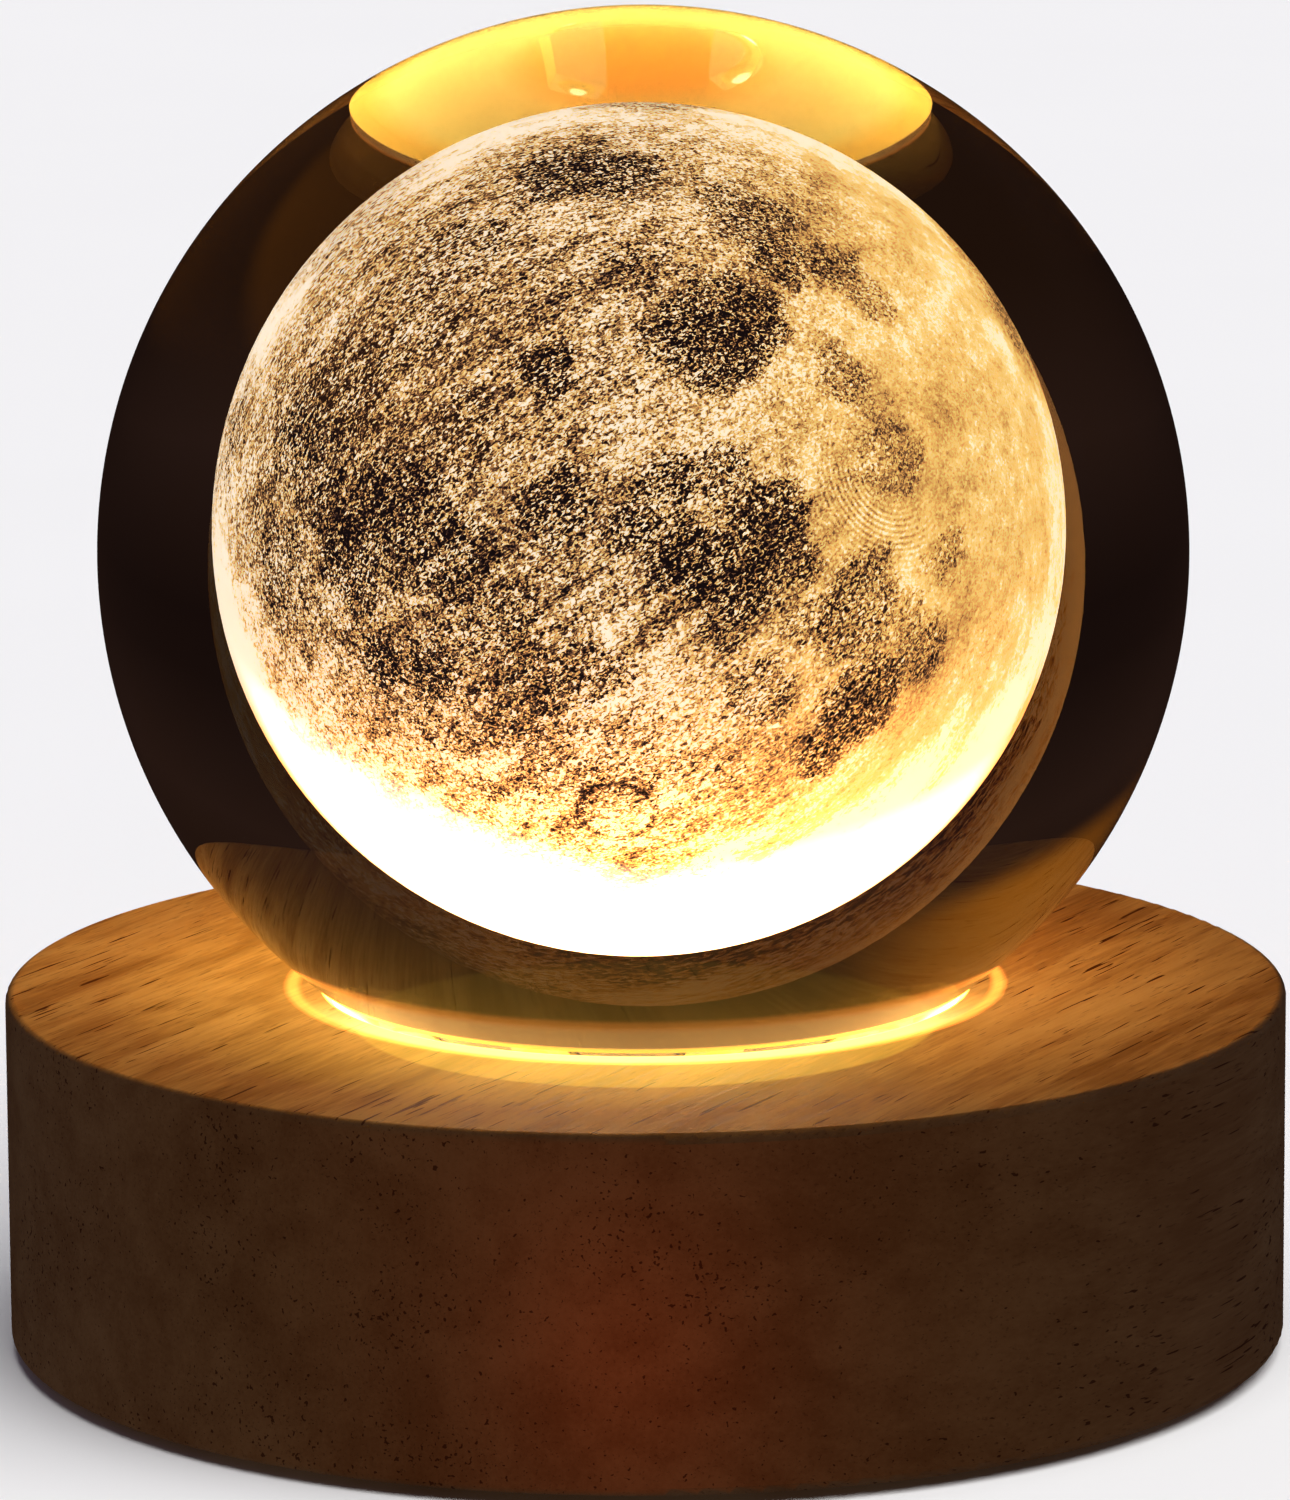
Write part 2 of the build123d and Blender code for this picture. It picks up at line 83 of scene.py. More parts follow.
# The LEDs, in millimetres and degrees
LED_COUNT = 8
LED_NAMES = [f"led_{number}" for number in range(1, LED_COUNT + 1)]
LED_PLACES = [(Vector(low) + Vector(high)) / 2 for low, high in map(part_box, LED_NAMES)]
FIRST_LED_ANGLE = 17.5
LED_ANGLES = [FIRST_LED_ANGLE + 360 / LED_COUNT * place + 90 for place in range(LED_COUNT)]
LED_HEIGHT = 1.9
LED_CUP_DEPTH = 0.4

# Copper tracks that show through the LED board, as radii
TRACK_CIRCLES = (12.2, 15.8)

# The resistors, and from their middle out to the end caps and up to the black glaze
RESISTOR_ANGLES = {"resistor_1": 60, "resistor_2": 0}
RESISTOR_CAP_PLACE = 1.10
RESISTOR_GLAZE_LEVEL = 0.18

# Solder at each end of a part: how far out it starts, half its width, and its height
LED_JOINT = (1.75, 1.1, 0.55)
RESISTOR_JOINT = (1.6, 0.7, 0.40)

# Tinned pads in a row on the rear board: how far across and back they lie, and their size
PADS_ACROSS = (-8.0, -2.0, 2.0, 8.0)
PADS_BACK = 18.97
PAD_RADIUS = 1.05

# Screws in millimetres and degrees. A head is left turned by a share of its own place's angle,
# and the rear ones by so many radians
SCREW_HEAD_RADIUS = 1.9
BOARD_SCREW_CIRCLE = 9.5
BOARD_SCREW_ANGLES = (90, 210, 330)
COVER_SCREW_ANGLES = (30, 150, 270)
HEAD_TURN_SHARE = 0.3
REAR_HEAD_TURN = 0.4

# The button's return spring, in millimetres
SPRING_WIRE = 0.25
SPRING_TURNS = 4
STEPS_A_TURN = 32
SIDES_OF_WIRE = 10

# Rings on the button's face, in millimetres from one to the next
FACE_RING_PITCH = 0.22

# Optical glass
GLASS_IOR = 1.5168

# The dark patches of the moon: longitude and latitude of each, in degrees from the front, its
# radius as a share of the moon's, and how much of the light it takes away
PATCHES = (
    (-64, 78, 0.14, 0.80), (-16, 81, 0.13, 0.80), (-58, 58, 0.14, 0.45), (-59, 51, 0.11, 0.30),
    (46, 66, 0.14, 0.50), (44, 56, 0.11, 0.60), (18, 52, 0.09, 0.50), (-1, 59, 0.09, 0.25),
    (17, 42, 0.16, 1.00), (12, 47, 0.10, 0.80), (27, 46, 0.10, 0.80), (4, 44, 0.08, 0.45),
    (60, 51, 0.09, 0.45), (60, 44, 0.08, 0.35), (43, 34, 0.10, 0.42), (46, 20, 0.14, 0.30),
    (-19, 37, 0.09, 0.80), (-13, 14, 0.10, 0.75), (-18, 13, 0.07, 0.60), (-34, 25, 0.12, 0.32),
    (5, 19, 0.10, 0.80), (15, 20, 0.10, 0.65), (21, 12, 0.14, 0.85), (9, 6, 0.13, 1.00),
    (0, 11, 0.09, 0.80), (17, 3, 0.13, 0.85), (26, 5, 0.09, 0.65), (13, -5, 0.08, 0.50),
    (-52, 41, 0.12, 0.32), (-63, 29, 0.17, 0.40), (-69, 21, 0.15, 0.50), (-59, 11, 0.13, 0.40),
    (-43, 10, 0.18, 0.50), (-34, 6, 0.13, 0.55), (-53, 2, 0.14, 0.60), (-71, -1, 0.12, 0.35),
    (-46, -14, 0.09, 0.55), (-36, -14, 0.10, 0.50), (-24, -5, 0.12, 0.30), (-17, -15, 0.10, 0.30),
    (-8, -12, 0.11, 0.38), (21, -17, 0.11, 0.40), (27, -5, 0.08, 0.45), (38, -5, 0.16, 0.60),
    (51, -11, 0.12, 0.42), (57, 1, 0.08, 0.30), (41, -20, 0.15, 0.70), (36, -29, 0.09, 0.60),
    (118, 25, 0.30, 0.60), (150, 30, 0.36, 0.95), (128, -5, 0.20, 0.50), (160, -25, 0.24, 0.50),
    (-118, 42, 0.24, 0.60), (175, 62, 0.16, 0.60), (105, -30, 0.20, 0.40), (-105, 10, 0.22, 0.50),
)
PATCH_WANDER = 0.29
PATCH_FADE_SHARES = (0.62, 1.25)

# A crater, and the ripples round a second one, in the same terms; and the turns about Y that draw
# the laser's strokes and the fine streaks out, up to the right
CRATER_PLACE = (-5, -40)
CRATER_RADIUS = 0.105
RIPPLE_PLACE = (48, 18)
RIPPLE_REACH = 0.34
RIPPLE_PITCH = 0.0165
STROKE_LEAN = radians(-35)
STREAK_LEAN = radians(-41)

# A speck of the engraving in millimetres: along its stroke, in depth, and across
SPECK_SIZE = (0.2125, 0.1375, 0.125)

# Places of the two lights on the wood
MOON_GLOW_PLACE = ball_centre + Vector((-9, 14, 11)) * MM
LOW_GLOW_PLACE = (-1.5 * MM, -46 * MM, 8 * MM)


def linear(hex_colour):
    """sRGB hex value as the linear colour that a node takes."""
    channels = [int(hex_colour[i:i + 2], 16) / 255 for i in (1, 3, 5)]
    return tuple(c / 12.92 if c <= 0.04045 else ((c + 0.055) / 1.055) ** 2.4 for c in channels) + (1.0,)


def add_node(tree, kind, inputs=(), out=0, ramp=None, **settings):
    """Adds one node with its settings, gives each input its value or link, and returns an output.

    The inputs are a list in the node's own order or a dict by name, and a hex string is a colour.
    """
    node = tree.nodes.new("ShaderNode" + kind)
    for name, value in settings.items():
        setattr(node, name, value)
    for name, value in inputs.items() if isinstance(inputs, dict) else enumerate(inputs):
        if isinstance(value, bpy.types.NodeSocket):
            tree.links.new(value, node.inputs[name])
        else:
            node.inputs[name].default_value = linear(value) if isinstance(value, str) else value
    if ramp:
        elements = node.color_ramp.elements
        while len(elements) < len(ramp):
            elements.new(0.5)
        for element, (place, colour) in zip(elements, ramp):
            element.position = place
            element.color = linear(colour)
    return node.outputs[out]


def start_material(name, **values):
    """A material, its node tree and its Principled shader, with the values that are even all over."""
    material = bpy.data.materials.new(name)
    material.use_nodes = True
    shader = next(node for node in material.node_tree.nodes if node.type == "BSDF_PRINCIPLED")
    feed(material.node_tree, shader, **values)
    return material, material.node_tree, shader


def feed(tree, shader, **values):
    """Gives the shader's sockets their values or links; an underscore in a name is a space."""
    for name, value in values.items():
        socket = shader.inputs[name.replace("_", " ")]
        if isinstance(value, bpy.types.NodeSocket):
            tree.links.new(value, socket)
        else:
            socket.default_value = value


def in_millimetres(tree, centre=(0, 0, 0), turn=(0, 0, 0), stretch=(1, 1, 1)):
    """Object coordinates in millimetres from a centre, turned, and divided by the stretch."""
    place = add_node(tree, "TexCoord", out="Object")
    scale = [MM * along for along in stretch]
    return add_node(
        tree, "Mapping", {"Vector": place, "Location": centre, "Rotation": turn, "Scale": scale},
        vector_type="TEXTURE",
    )


def direction(longitude, latitude):
    """Unit vector from a longitude about +Z, zero at the front, and a latitude, in degrees."""
    east, north = radians(longitude), radians(latitude)
    return Vector((cos(north) * sin(east), -cos(north) * cos(east), sin(north)))


def new_piece(name, mesh_maker, material, body, smooth=True):
    """A mesh piece from a function that fills a bmesh, with its material, riding on its body."""
    mesh = bpy.data.meshes.new(name)
    shape = bmesh.new()
    mesh_maker(shape)
    bmesh.ops.recalc_face_normals(shape, faces=shape.faces)
    shape.to_mesh(mesh)
    shape.free()
    mesh.polygons.foreach_set("use_smooth", [smooth] * len(mesh.polygons))
    piece = bpy.data.objects.new(name, mesh)
    bpy.context.scene.collection.objects.link(piece)
    mesh.materials.append(material)
    if body:
        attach(piece, body)
    return piece


def dress(node, material):
    """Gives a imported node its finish."""
    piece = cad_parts[node]
    piece.data.materials.clear()
    piece.data.materials.append(material)


# Materials


def make_optical_glass():
    # Optical crystal glass, ground and polished: quite clear, with faint streaks of a warmer melt
    material, tree, shader = start_material(
        "optical_glass", Transmission_Weight=1.0, Roughness=0.0, IOR=GLASS_IOR
    )
    melt = add_node(
        tree, "TexNoise", {"Vector": in_millimetres(tree), "Scale": 0.08, "Detail": 2.0, "Distortion": 2.0}
    )
    tint = add_node(tree, "ValToRGB", [melt], ramp=[(0.35, "#ffffff"), (0.7, "#fffaf0")])
    feed(tree, shader, Base_Color=tint)
    return material


def engraved_patches(tree, place, slanted):
    """How much light the dark patches take; their edges are ragged, and drawn out up and right."""
    wander = add_node(
        tree, "TexNoise", {"Vector": slanted, "Scale": 8.0, "Detail": 6.0, "Roughness": 0.66}, out="Color"
    )
    wander = add_node(tree, "VectorMath", [wander, (0.5, 0.5, 0.5)], operation="SUBTRACT")
    wandered = add_node(
        tree, "VectorMath", [wander, [PATCH_WANDER] * 3, place], operation="MULTIPLY_ADD"
    )
    shade = 0.0
    for longitude, latitude, radius, depth in PATCHES:
        apart = add_node(
            tree, "VectorMath", [wandered, direction(longitude, latitude)], out="Value",
            operation="DISTANCE",
        )
        start, end = (share * radius for share in PATCH_FADE_SHARES)
        patch = add_node(
            tree, "MapRange", [apart, start, end, depth, 0.0], interpolation_type="SMOOTHSTEP"
        )
        shade = add_node(tree, "Math", [shade, patch], operation="MAXIMUM")
    return shade


def engraved_cloud(tree, place, slanted, right, bright_side):
    """How light the uplands are on the whole: mottle, a slow drift and fine slanting streaks, with painted
    light on the right side and painted shade on the left.
    """
    mottle = add_node(
        tree, "TexNoise", {"Vector": slanted, "Scale": 10.0, "Detail": 6.0, "Roughness": 0.68}
    )
    mottle = add_node(tree, "Math", [mottle, 0.5], operation="SUBTRACT")
    tone = add_node(tree, "MapRange", [bright_side, 0.0, 1.0, 1.7, 0.5])
    tone = add_node(tree, "Math", [mottle, tone, 0.645], operation="MULTIPLY_ADD")
    drift = add_node(tree, "TexNoise", {"Vector": slanted, "Scale": 3.6, "Detail": 3.0, "Roughness": 0.5})
    drift = add_node(tree, "Math", [drift, 0.5], operation="SUBTRACT")
    tone = add_node(tree, "Math", [drift, 0.75, tone], operation="MULTIPLY_ADD")
    # Painted light lifts the right side; painted shade dims the left
    tone = add_node(tree, "Math", [bright_side, 0.17, tone], operation="MULTIPLY_ADD")
    dim_side = add_node(
        tree, "MapRange", [right, -0.05, -0.75, 0.0, 0.09], interpolation_type="SMOOTHSTEP"
    )
    tone = add_node(tree, "Math", [tone, dim_side], operation="SUBTRACT")
    streak = add_node(
        tree, "Mapping", {"Vector": place, "Rotation": (0, STREAK_LEAN, 0), "Scale": (7.0, 1.0, 1.0)},
        vector_type="TEXTURE",
    )
    streak = add_node(tree, "TexNoise", {"Vector": streak, "Scale": 30.0, "Detail": 2.0})
    streak = add_node(tree, "Math", [streak, 0.5], operation="SUBTRACT")
    strength = add_node(tree, "MapRange", [bright_side, 0.0, 1.0, 1.0, 0.35])
    streak = add_node(tree, "Math", [streak, strength], operation="MULTIPLY")
    return add_node(tree, "Math", [streak, 0.9, tone], operation="MULTIPLY_ADD")


def engraved_craters(tree, place, right, up, tone):
    """The tone with the wall of one crater in it, and ripples round another."""
    to_crater = add_node(
        tree, "VectorMath", [place, direction(*CRATER_PLACE)], out="Value", operation="DISTANCE"
    )
    off_wall = add_node(tree, "Math", [to_crater, CRATER_RADIUS], operation="SUBTRACT")
    off_wall = add_node(tree, "Math", [off_wall], operation="ABSOLUTE")
    wall = add_node(
        tree, "MapRange", [off_wall, 0.005, 0.015, 0.33, 0.0], interpolation_type="SMOOTHSTEP"
    )
    tone = add_node(tree, "Math", [tone, wall], operation="SUBTRACT")
    to_ripples = add_node(
        tree, "VectorMath", [place, direction(*RIPPLE_PLACE)], out="Value", operation="DISTANCE"
    )
    ripple = add_node(tree, "Math", [to_ripples, 2 * pi / RIPPLE_PITCH], operation="MULTIPLY")
    ripple = add_node(tree, "Math", [ripple], operation="SINE")
    outward = add_node(tree, "Math", [right, up], operation="ADD")
    reach = add_node(
        tree, "MapRange", [to_ripples, 0.5 * RIPPLE_REACH, RIPPLE_REACH, 0.17, 0.0],
        interpolation_type="SMOOTHSTEP",
    )
    one_side = add_node(
        tree, "MapRange", [outward, 0.78, 1.0, 1.0, 0.0], interpolation_type="SMOOTHSTEP"
    )
    reach = add_node(tree, "Math", [reach, one_side], operation="MULTIPLY")
    return add_node(tree, "Math", [ripple, reach, tone], operation="MULTIPLY_ADD")


def engraved_tint(tree, right, back, up, ahead, bright_side):
    """Colour of the light that reaches each side.

    The far side takes what the glass sends back: warm and strong on its left, faint on its right.
    """
    far_side = add_node(
        tree, "MapRange", [back, 0.45, 0.80, 0.0, 1.0], interpolation_type="SMOOTHSTEP"
    )
    left_side = add_node(
        tree, "MapRange", [right, -0.25, -0.60, 0.0, 1.0], interpolation_type="SMOOTHSTEP"
    )
    right_side = add_node(
        tree, "MapRange", [right, 0.05, 0.35, 0.0, 1.0], interpolation_type="SMOOTHSTEP"
    )
    under = add_node(
        tree, "MapRange", [up, -0.25, -0.60, 0.0, 1.0], interpolation_type="SMOOTHSTEP"
    )
    under = add_node(tree, "Math", [under, ahead], operation="SUBTRACT")
    under = add_node(tree, "Math", [under, 0.0], operation="MAXIMUM")
    warm = add_node(tree, "Math", [far_side, left_side], operation="MULTIPLY")
    faint = add_node(tree, "Math", [far_side, right_side], operation="MULTIPLY")
    tint = (0.98, 0.98, 1.04, 1.0)
    for share, colour in (
        (bright_side, (1.08, 1.04, 0.92, 1.0)), (far_side, (1.3, 0.55, 0.18, 1.0)),
        (warm, (2.9, 1.25, 0.34, 1.0)), (faint, (0.30, 0.22, 0.15, 1.0)), (under, (1.4, 0.62, 0.22, 1.0)),
    ):
        tint = add_node(tree, "Mix", {0: share, 6: tint, 7: colour}, out=2, data_type="RGBA")
    return tint


def make_laser_engraving():
    # Micro-fractures that a laser leaves in optical glass, each a pale speck 0.1 mm across: close
    # set over the uplands, thinly over the dark plains, and drowned in light near the well
    material, tree, shader = start_material("laser_engraving", Roughness=0.9, Specular_IOR_Level=0.1)
    place = add_node(
        tree, "Mapping",
        {"Vector": add_node(tree, "TexCoord", out="Object"), "Location": moon_centre,
         "Scale": [moon_radius] * 3},
        vector_type="TEXTURE",
    )
    split = add_node(tree, "SeparateXYZ", [place], out="X").node
    right, back, up = (split.outputs[axis] for axis in "XYZ")
    slanted = add_node(
        tree, "Mapping", {"Vector": place, "Rotation": (0, STROKE_LEAN, 0), "Scale": (3.2, 1.2, 1.0)},
        vector_type="TEXTURE",
    )

    # Painted light from the lit well below, set by how squarely each spot faces it (flood and glare), and
    # how nearly edge on each spot is seen
    beside = add_node(tree, "Math", [right, -0.32], operation="MULTIPLY")
    beside = add_node(tree, "Math", [beside, 0.0], operation="MAXIMUM")
    facing = add_node(tree, "Math", [right, 0.12], operation="MULTIPLY")
    facing = add_node(tree, "Math", [facing, beside], operation="MAXIMUM")
    facing = add_node(tree, "Math", [back, 0.30, facing], operation="MULTIPLY_ADD")
    facing = add_node(tree, "Math", [facing, up], operation="SUBTRACT")
    # Painted light: the spots that face the well are flooded brighter and given glare
    painted_flood = add_node(tree, "MapRange", [facing, 0.24, 0.84, 0.0, 1.0], interpolation_type="SMOOTHSTEP")
    glare = add_node(tree, "MapRange", [facing, 0.62, 1.08, 0.0, 4.5])
    ahead = add_node(tree, "MapRange", [back, 0.15, -0.10, 0.0, 1.0], interpolation_type="SMOOTHSTEP")
    glare = add_node(tree, "Math", [glare, ahead], operation="MULTIPLY")
    edge_on = add_node(tree, "LayerWeight", [0.5], out="Facing")
    limb = add_node(tree, "MapRange", [edge_on, 0.50, 0.86, 0.0, 1.0], interpolation_type="SMOOTHSTEP")
    bright_side = add_node(
        tree, "MapRange", [right, -0.15, 0.80, 0.0, 1.0], interpolation_type="SMOOTHSTEP"
    )

    # How light each spot is on the whole
    shade = engraved_patches(tree, place, slanted)
    tone = engraved_cloud(tree, place, slanted, right, bright_side)
    tone = add_node(tree, "Math", [shade, -0.62, tone], operation="MULTIPLY_ADD")
    tone = add_node(tree, "Math", [painted_flood, 0.44, tone], operation="MULTIPLY_ADD")
    rim = add_node(tree, "MapRange", [right, -0.9, 0.9, 0.62, 0.15])
    tone = add_node(tree, "Math", [limb, rim, tone], operation="MULTIPLY_ADD")
    tone = engraved_craters(tree, place, right, up, tone)

    # The specks, drawn coarser than they are so that they show: crooked strokes 0.2 mm long
    specks = add_node(
        tree, "TexNoise",
        {"Vector": in_millimetres(tree, turn=(0, STROKE_LEAN, 0), stretch=SPECK_SIZE), "Scale": 1.0,
         "Detail": 1.0, "Roughness": 0.5, "Distortion": 0.9},
    )
    specks = add_node(tree, "Math", [specks, 0.5], operation="SUBTRACT")
    contrast = 3.1
    for share, change in ((bright_side, -2.4), (shade, 3.0), (painted_flood, -1.4), (limb, -1.2)):
        contrast = add_node(tree, "Math", [share, change, contrast], operation="MULTIPLY_ADD")
    contrast = add_node(tree, "Math", [contrast, 0.5], operation="MAXIMUM")
    light = add_node(tree, "Math", [specks, contrast, tone], operation="MULTIPLY_ADD")
    colour = add_node(
        tree, "ValToRGB", [light],
        ramp=[(0.05, "#120b0d"), (0.24, "#3a2620"), (0.40, "#704c34"), (0.56, "#b07e4a"),
              (0.72, "#dfaf63"), (0.86, "#f4cb7c"), (0.95, "#fbdf9a"), (1.0, "#fff3d8")],
    )

    # Painted light: the engraving glows in the colour of the light that reaches each side, with painted
    # glare where it faces the well
    tint = engraved_tint(tree, right, back, up, ahead, bright_side)
    glow = add_node(tree, "VectorMath", [colour, tint], operation="MULTIPLY")
    glare = add_node(tree, "VectorMath", {"Vector": (1.0, 0.95, 0.88), "Scale": glare}, operation="SCALE")
    glow = add_node(tree, "VectorMath", [glow, glare], operation="ADD")
    feed(tree, shader, Base_Color=colour, Emission_Color=glow, Emission_Strength=1.0)
    return material


def wood_grain(tree):
    """Tone, open pores and fibre of the wood along its grain, each from nought to one."""
    def along_grain(length, width, **values):
        """Noise drawn out along the grain, its length and width in millimetres."""
        turn = (0, 0, radians(GRAIN_ANGLE))
        place = in_millimetres(tree, turn=turn, stretch=(length, width, width))
        return add_node(tree, "TexNoise", {"Vector": place, "Scale": 1.0, **values})

    figure = along_grain(26, 7, Detail=3.0, Roughness=0.55, Distortion=0.8)
    bands = along_grain(60, 2.2, Detail=3.0, Roughness=0.6, Distortion=0.3)
    fibre = along_grain(5, 0.28, Detail=3.0, Roughness=0.65)
    tone = add_node(tree, "Math", [figure, 0.48], operation="MULTIPLY")
    tone = add_node(tree, "Math", [bands, 0.28, tone], operation="MULTIPLY_ADD")
    tone = add_node(tree, "Math", [fibre, 0.24, tone], operation="MULTIPLY_ADD")
    fine_pores = along_grain(1.8, 0.16, Detail=1.0)
    fine_pores = add_node(
        tree, "MapRange", [fine_pores, 0.63, 0.73, 0.0, 0.40], interpolation_type="SMOOTHSTEP"
    )
    pores = along_grain(5.5, 0.26, Detail=1.0, Distortion=0.2)
    crowd = along_grain(16, 9, Detail=1.0)
    crowd = add_node(tree, "MapRange", [crowd, 0.35, 0.65, -0.05, 0.045])
    pores = add_node(tree, "Math", [pores, crowd], operation="ADD")
    pores = add_node(tree, "MapRange", [pores, 0.68, 0.73, 0.0, 1.0], interpolation_type="SMOOTHSTEP")
    return tone, add_node(tree, "Math", [fine_pores, pores], operation="MAXIMUM"), fibre


def light_on_wall(tree, reach, up):
    """Glow of the well's wall and broken edge, brightest above the LEDs."""
    board = board_top / MM
    inside = add_node(tree, "MapRange", [reach, WELL_RADIUS + 0.60, WELL_RADIUS + 0.45, 0.0, 1.0])
    above_board = add_node(tree, "MapRange", [up, board - 1.6, board - 1.2, 0.0, 1.0])
    wall = add_node(tree, "Math", [inside, above_board], operation="MULTIPLY")
    height = add_node(tree, "MapRange", [up, board, wood_top / MM, 0.0, 1.0])
    colour = add_node(
        tree, "ValToRGB", [height],
        ramp=[(0.05, "#ff9c34"), (0.14, "#ffa23a"), (0.32, "#ffca5c"), (0.76, "#ffd664"), (0.92, "#ffbc44")],
    )
    light = add_node(tree, "VectorMath", {"Vector": colour, "Scale": wall}, operation="SCALE")
    return add_node(tree, "VectorMath", {"Vector": light, "Scale": WALL_GLOW}, operation="SCALE")


def light_on_top(tree, across, flat, reach, front, on_top):
    """Glow that leaks out under the ball: a white-hot collar in front with a spill round it, a
    thin ring, a paler crescent and a wide halo."""
    to_ring = add_node(
        tree, "MapRange", [reach, RING_RADIUS - 0.6, RING_RADIUS + 0.1, 1.0, 0.0],
        interpolation_type="SMOOTHSTEP",
    )
    ahead = add_node(tree, "MapRange", [front, -0.30, -0.70, 0.0, 1.0], interpolation_type="SMOOTHSTEP")
    collar = add_node(tree, "Math", [to_ring, ahead], operation="MULTIPLY")
    partly = add_node(tree, "MapRange", [front, -0.12, -0.36, 0.0, 1.0], interpolation_type="SMOOTHSTEP")
    spill = add_node(tree, "Math", [to_ring, partly], operation="MULTIPLY")
    off_ring = add_node(tree, "Math", [reach, RING_RADIUS], operation="SUBTRACT")
    off_ring = add_node(tree, "Math", [off_ring], operation="ABSOLUTE")
    ring = add_node(tree, "MapRange", [off_ring, 0.08, 0.60, 1.0, 0.0], interpolation_type="SMOOTHSTEP")
    behind = add_node(tree, "MapRange", [front, 0.15, 0.50, 1.0, 0.15])
    ring = add_node(tree, "Math", [ring, behind], operation="MULTIPLY")
    in_crescent = add_node(
        tree, "VectorMath", [flat, (0, -CRESCENT_OFFSET, 0)], out="Value", operation="DISTANCE"
    )
    crescent = add_node(
        tree, "MapRange", [in_crescent, CRESCENT_RADIUS - 0.3, CRESCENT_RADIUS + 0.1, 1.0, 0.0],
        interpolation_type="SMOOTHSTEP",
    )
    halo = add_node(tree, "MapRange", [reach, RING_RADIUS, RING_RADIUS + HALO_WIDTH, 1.0, 0.0])
    facing = add_node(tree, "MapRange", [across, 20.0, 4.0, 0.0, 1.0])
    halo = add_node(tree, "Math", [halo, facing], operation="MULTIPLY")
    nearer = add_node(tree, "MapRange", [front, -0.55, -0.95, 1.0, 2.2])
    halo = add_node(tree, "Math", [halo, nearer], operation="MULTIPLY")
    light = (0.0, 0.0, 0.0)
    for share, glow in (
        (collar, (1.4, 0.72, 0.28)), (spill, (0.8, 0.32, 0.06)), (ring, (1.7, 0.46, 0.06)),
        (crescent, (0.22, 0.15, 0.015)), (halo, (0.15, 0.092, 0.008)),
    ):
        share = add_node(tree, "Math", [share, on_top], operation="MULTIPLY")
        glow = add_node(tree, "VectorMath", {"Vector": glow, "Scale": share}, operation="SCALE")
        light = add_node(tree, "VectorMath", [light, glow], operation="ADD")
    return light


def make_turned_wood():
    # Rubberwood, turned on a lathe, sanded and thinly lacquered: straight fibre, open pores that
    # show as dark dashes along the grain, cloudy figure. Light leaks on to it from under the ball.
    material, tree, shader = start_material("turned_rubberwood", Specular_IOR_Level=0.02)
    tone, pore, fibre = wood_grain(tree)

    # Where a spot lies: out from the axis, up, and round towards the front
    split = add_node(tree, "SeparateXYZ", [in_millimetres(tree)], out="X").node
    across, back, up = (split.outputs[axis] for axis in "XYZ")
    flat = add_node(tree, "CombineXYZ", [across, back, 0.0])
    reach = add_node(tree, "VectorMath", [flat], out="Value", operation="LENGTH")
    front = add_node(tree, "Math", [back, reach], operation="DIVIDE")
    on_top = add_node(tree, "MapRange", [up, wood_top / MM - 0.05, wood_top / MM - 0.02, 0.0, 1.0])

    # Sanded round, the side is more even and its pores are better filled
    open_share = add_node(tree, "MapRange", [on_top, 0.0, 1.0, 0.8, 1.0])
    pore = add_node(tree, "Math", [pore, open_share], operation="MULTIPLY")
    even = add_node(tree, "MapRange", [on_top, 0.0, 1.0, 0.4, 1.0])
    tone = add_node(tree, "Math", [tone, 0.5], operation="SUBTRACT")
    tone = add_node(tree, "Math", [tone, even, 0.5], operation="MULTIPLY_ADD")
    wood = add_node(
        tree, "ValToRGB", [tone],
        ramp=[(0.38, "#94642f"), (0.47, "#ae8046"), (0.53, "#c49858"), (0.62, "#d1a868")],
    )
    colour = add_node(tree, "Mix", {0: pore, 6: wood, 7: "#5a2c12"}, out=2, data_type="RGBA")

    glow = [light_on_wall(tree, reach, up), light_on_top(tree, across, flat, reach, front, on_top)]
    light = add_node(tree, "VectorMath", glow, operation="ADD")
    rough = add_node(tree, "MapRange", [fibre, 0.3, 0.7, 0.42, 0.58])
    relief = add_node(tree, "Math", [pore, -0.6, fibre], operation="MULTIPLY_ADD")
    bump = add_node(tree, "Bump", {"Height": relief, "Distance": 0.05 * MM, "Strength": 0.5})
    feed(tree, shader, Base_Color=colour, Roughness=rough, Normal=bump)
    feed(tree, shader, Emission_Color=light, Emission_Strength=1.0)
    return material


def add_surface(tree, shader, first, second, grain, roughness, relief):
    """Two close tones, a spread of roughness and a fine relief, all on one grain in millimetres."""
    noise = add_node(
        tree, "TexNoise", {"Vector": in_millimetres(tree, stretch=[grain] * 3), "Scale": 1.0, "Detail": 3.0}
    )
    colour = add_node(tree, "Mix", {0: noise, 6: first, 7: second}, out=2, data_type="RGBA")
    rough = add_node(tree, "MapRange", [noise, 0.3, 0.7, roughness - 0.05, roughness + 0.05])
    bump = add_node(tree, "Bump", {"Height": noise, "Distance": relief * MM, "Strength": 0.5})
    feed(tree, shader, Base_Color=colour, Roughness=rough, Normal=bump)
    return colour


def from_axis(tree, centre=(0, 0, 0)):
    """Distance in millimetres from an upright axis through a centre."""
    split = add_node(tree, "SeparateXYZ", [in_millimetres(tree, centre)]).node
    flat = add_node(tree, "CombineXYZ", [split.outputs["X"], split.outputs["Y"], 0.0])
    return add_node(tree, "VectorMath", [flat], out="Value", operation="LENGTH")


def band(tree, value, middle, half_width, edge):
    """One within half a width of a middle value, and nought beyond a soft edge."""
    off = add_node(tree, "Math", [value, middle], operation="SUBTRACT")
    off = add_node(tree, "Math", [off], operation="ABSOLUTE")
    return add_node(tree, "MapRange", [off, half_width, half_width + edge, 1.0, 0.0])


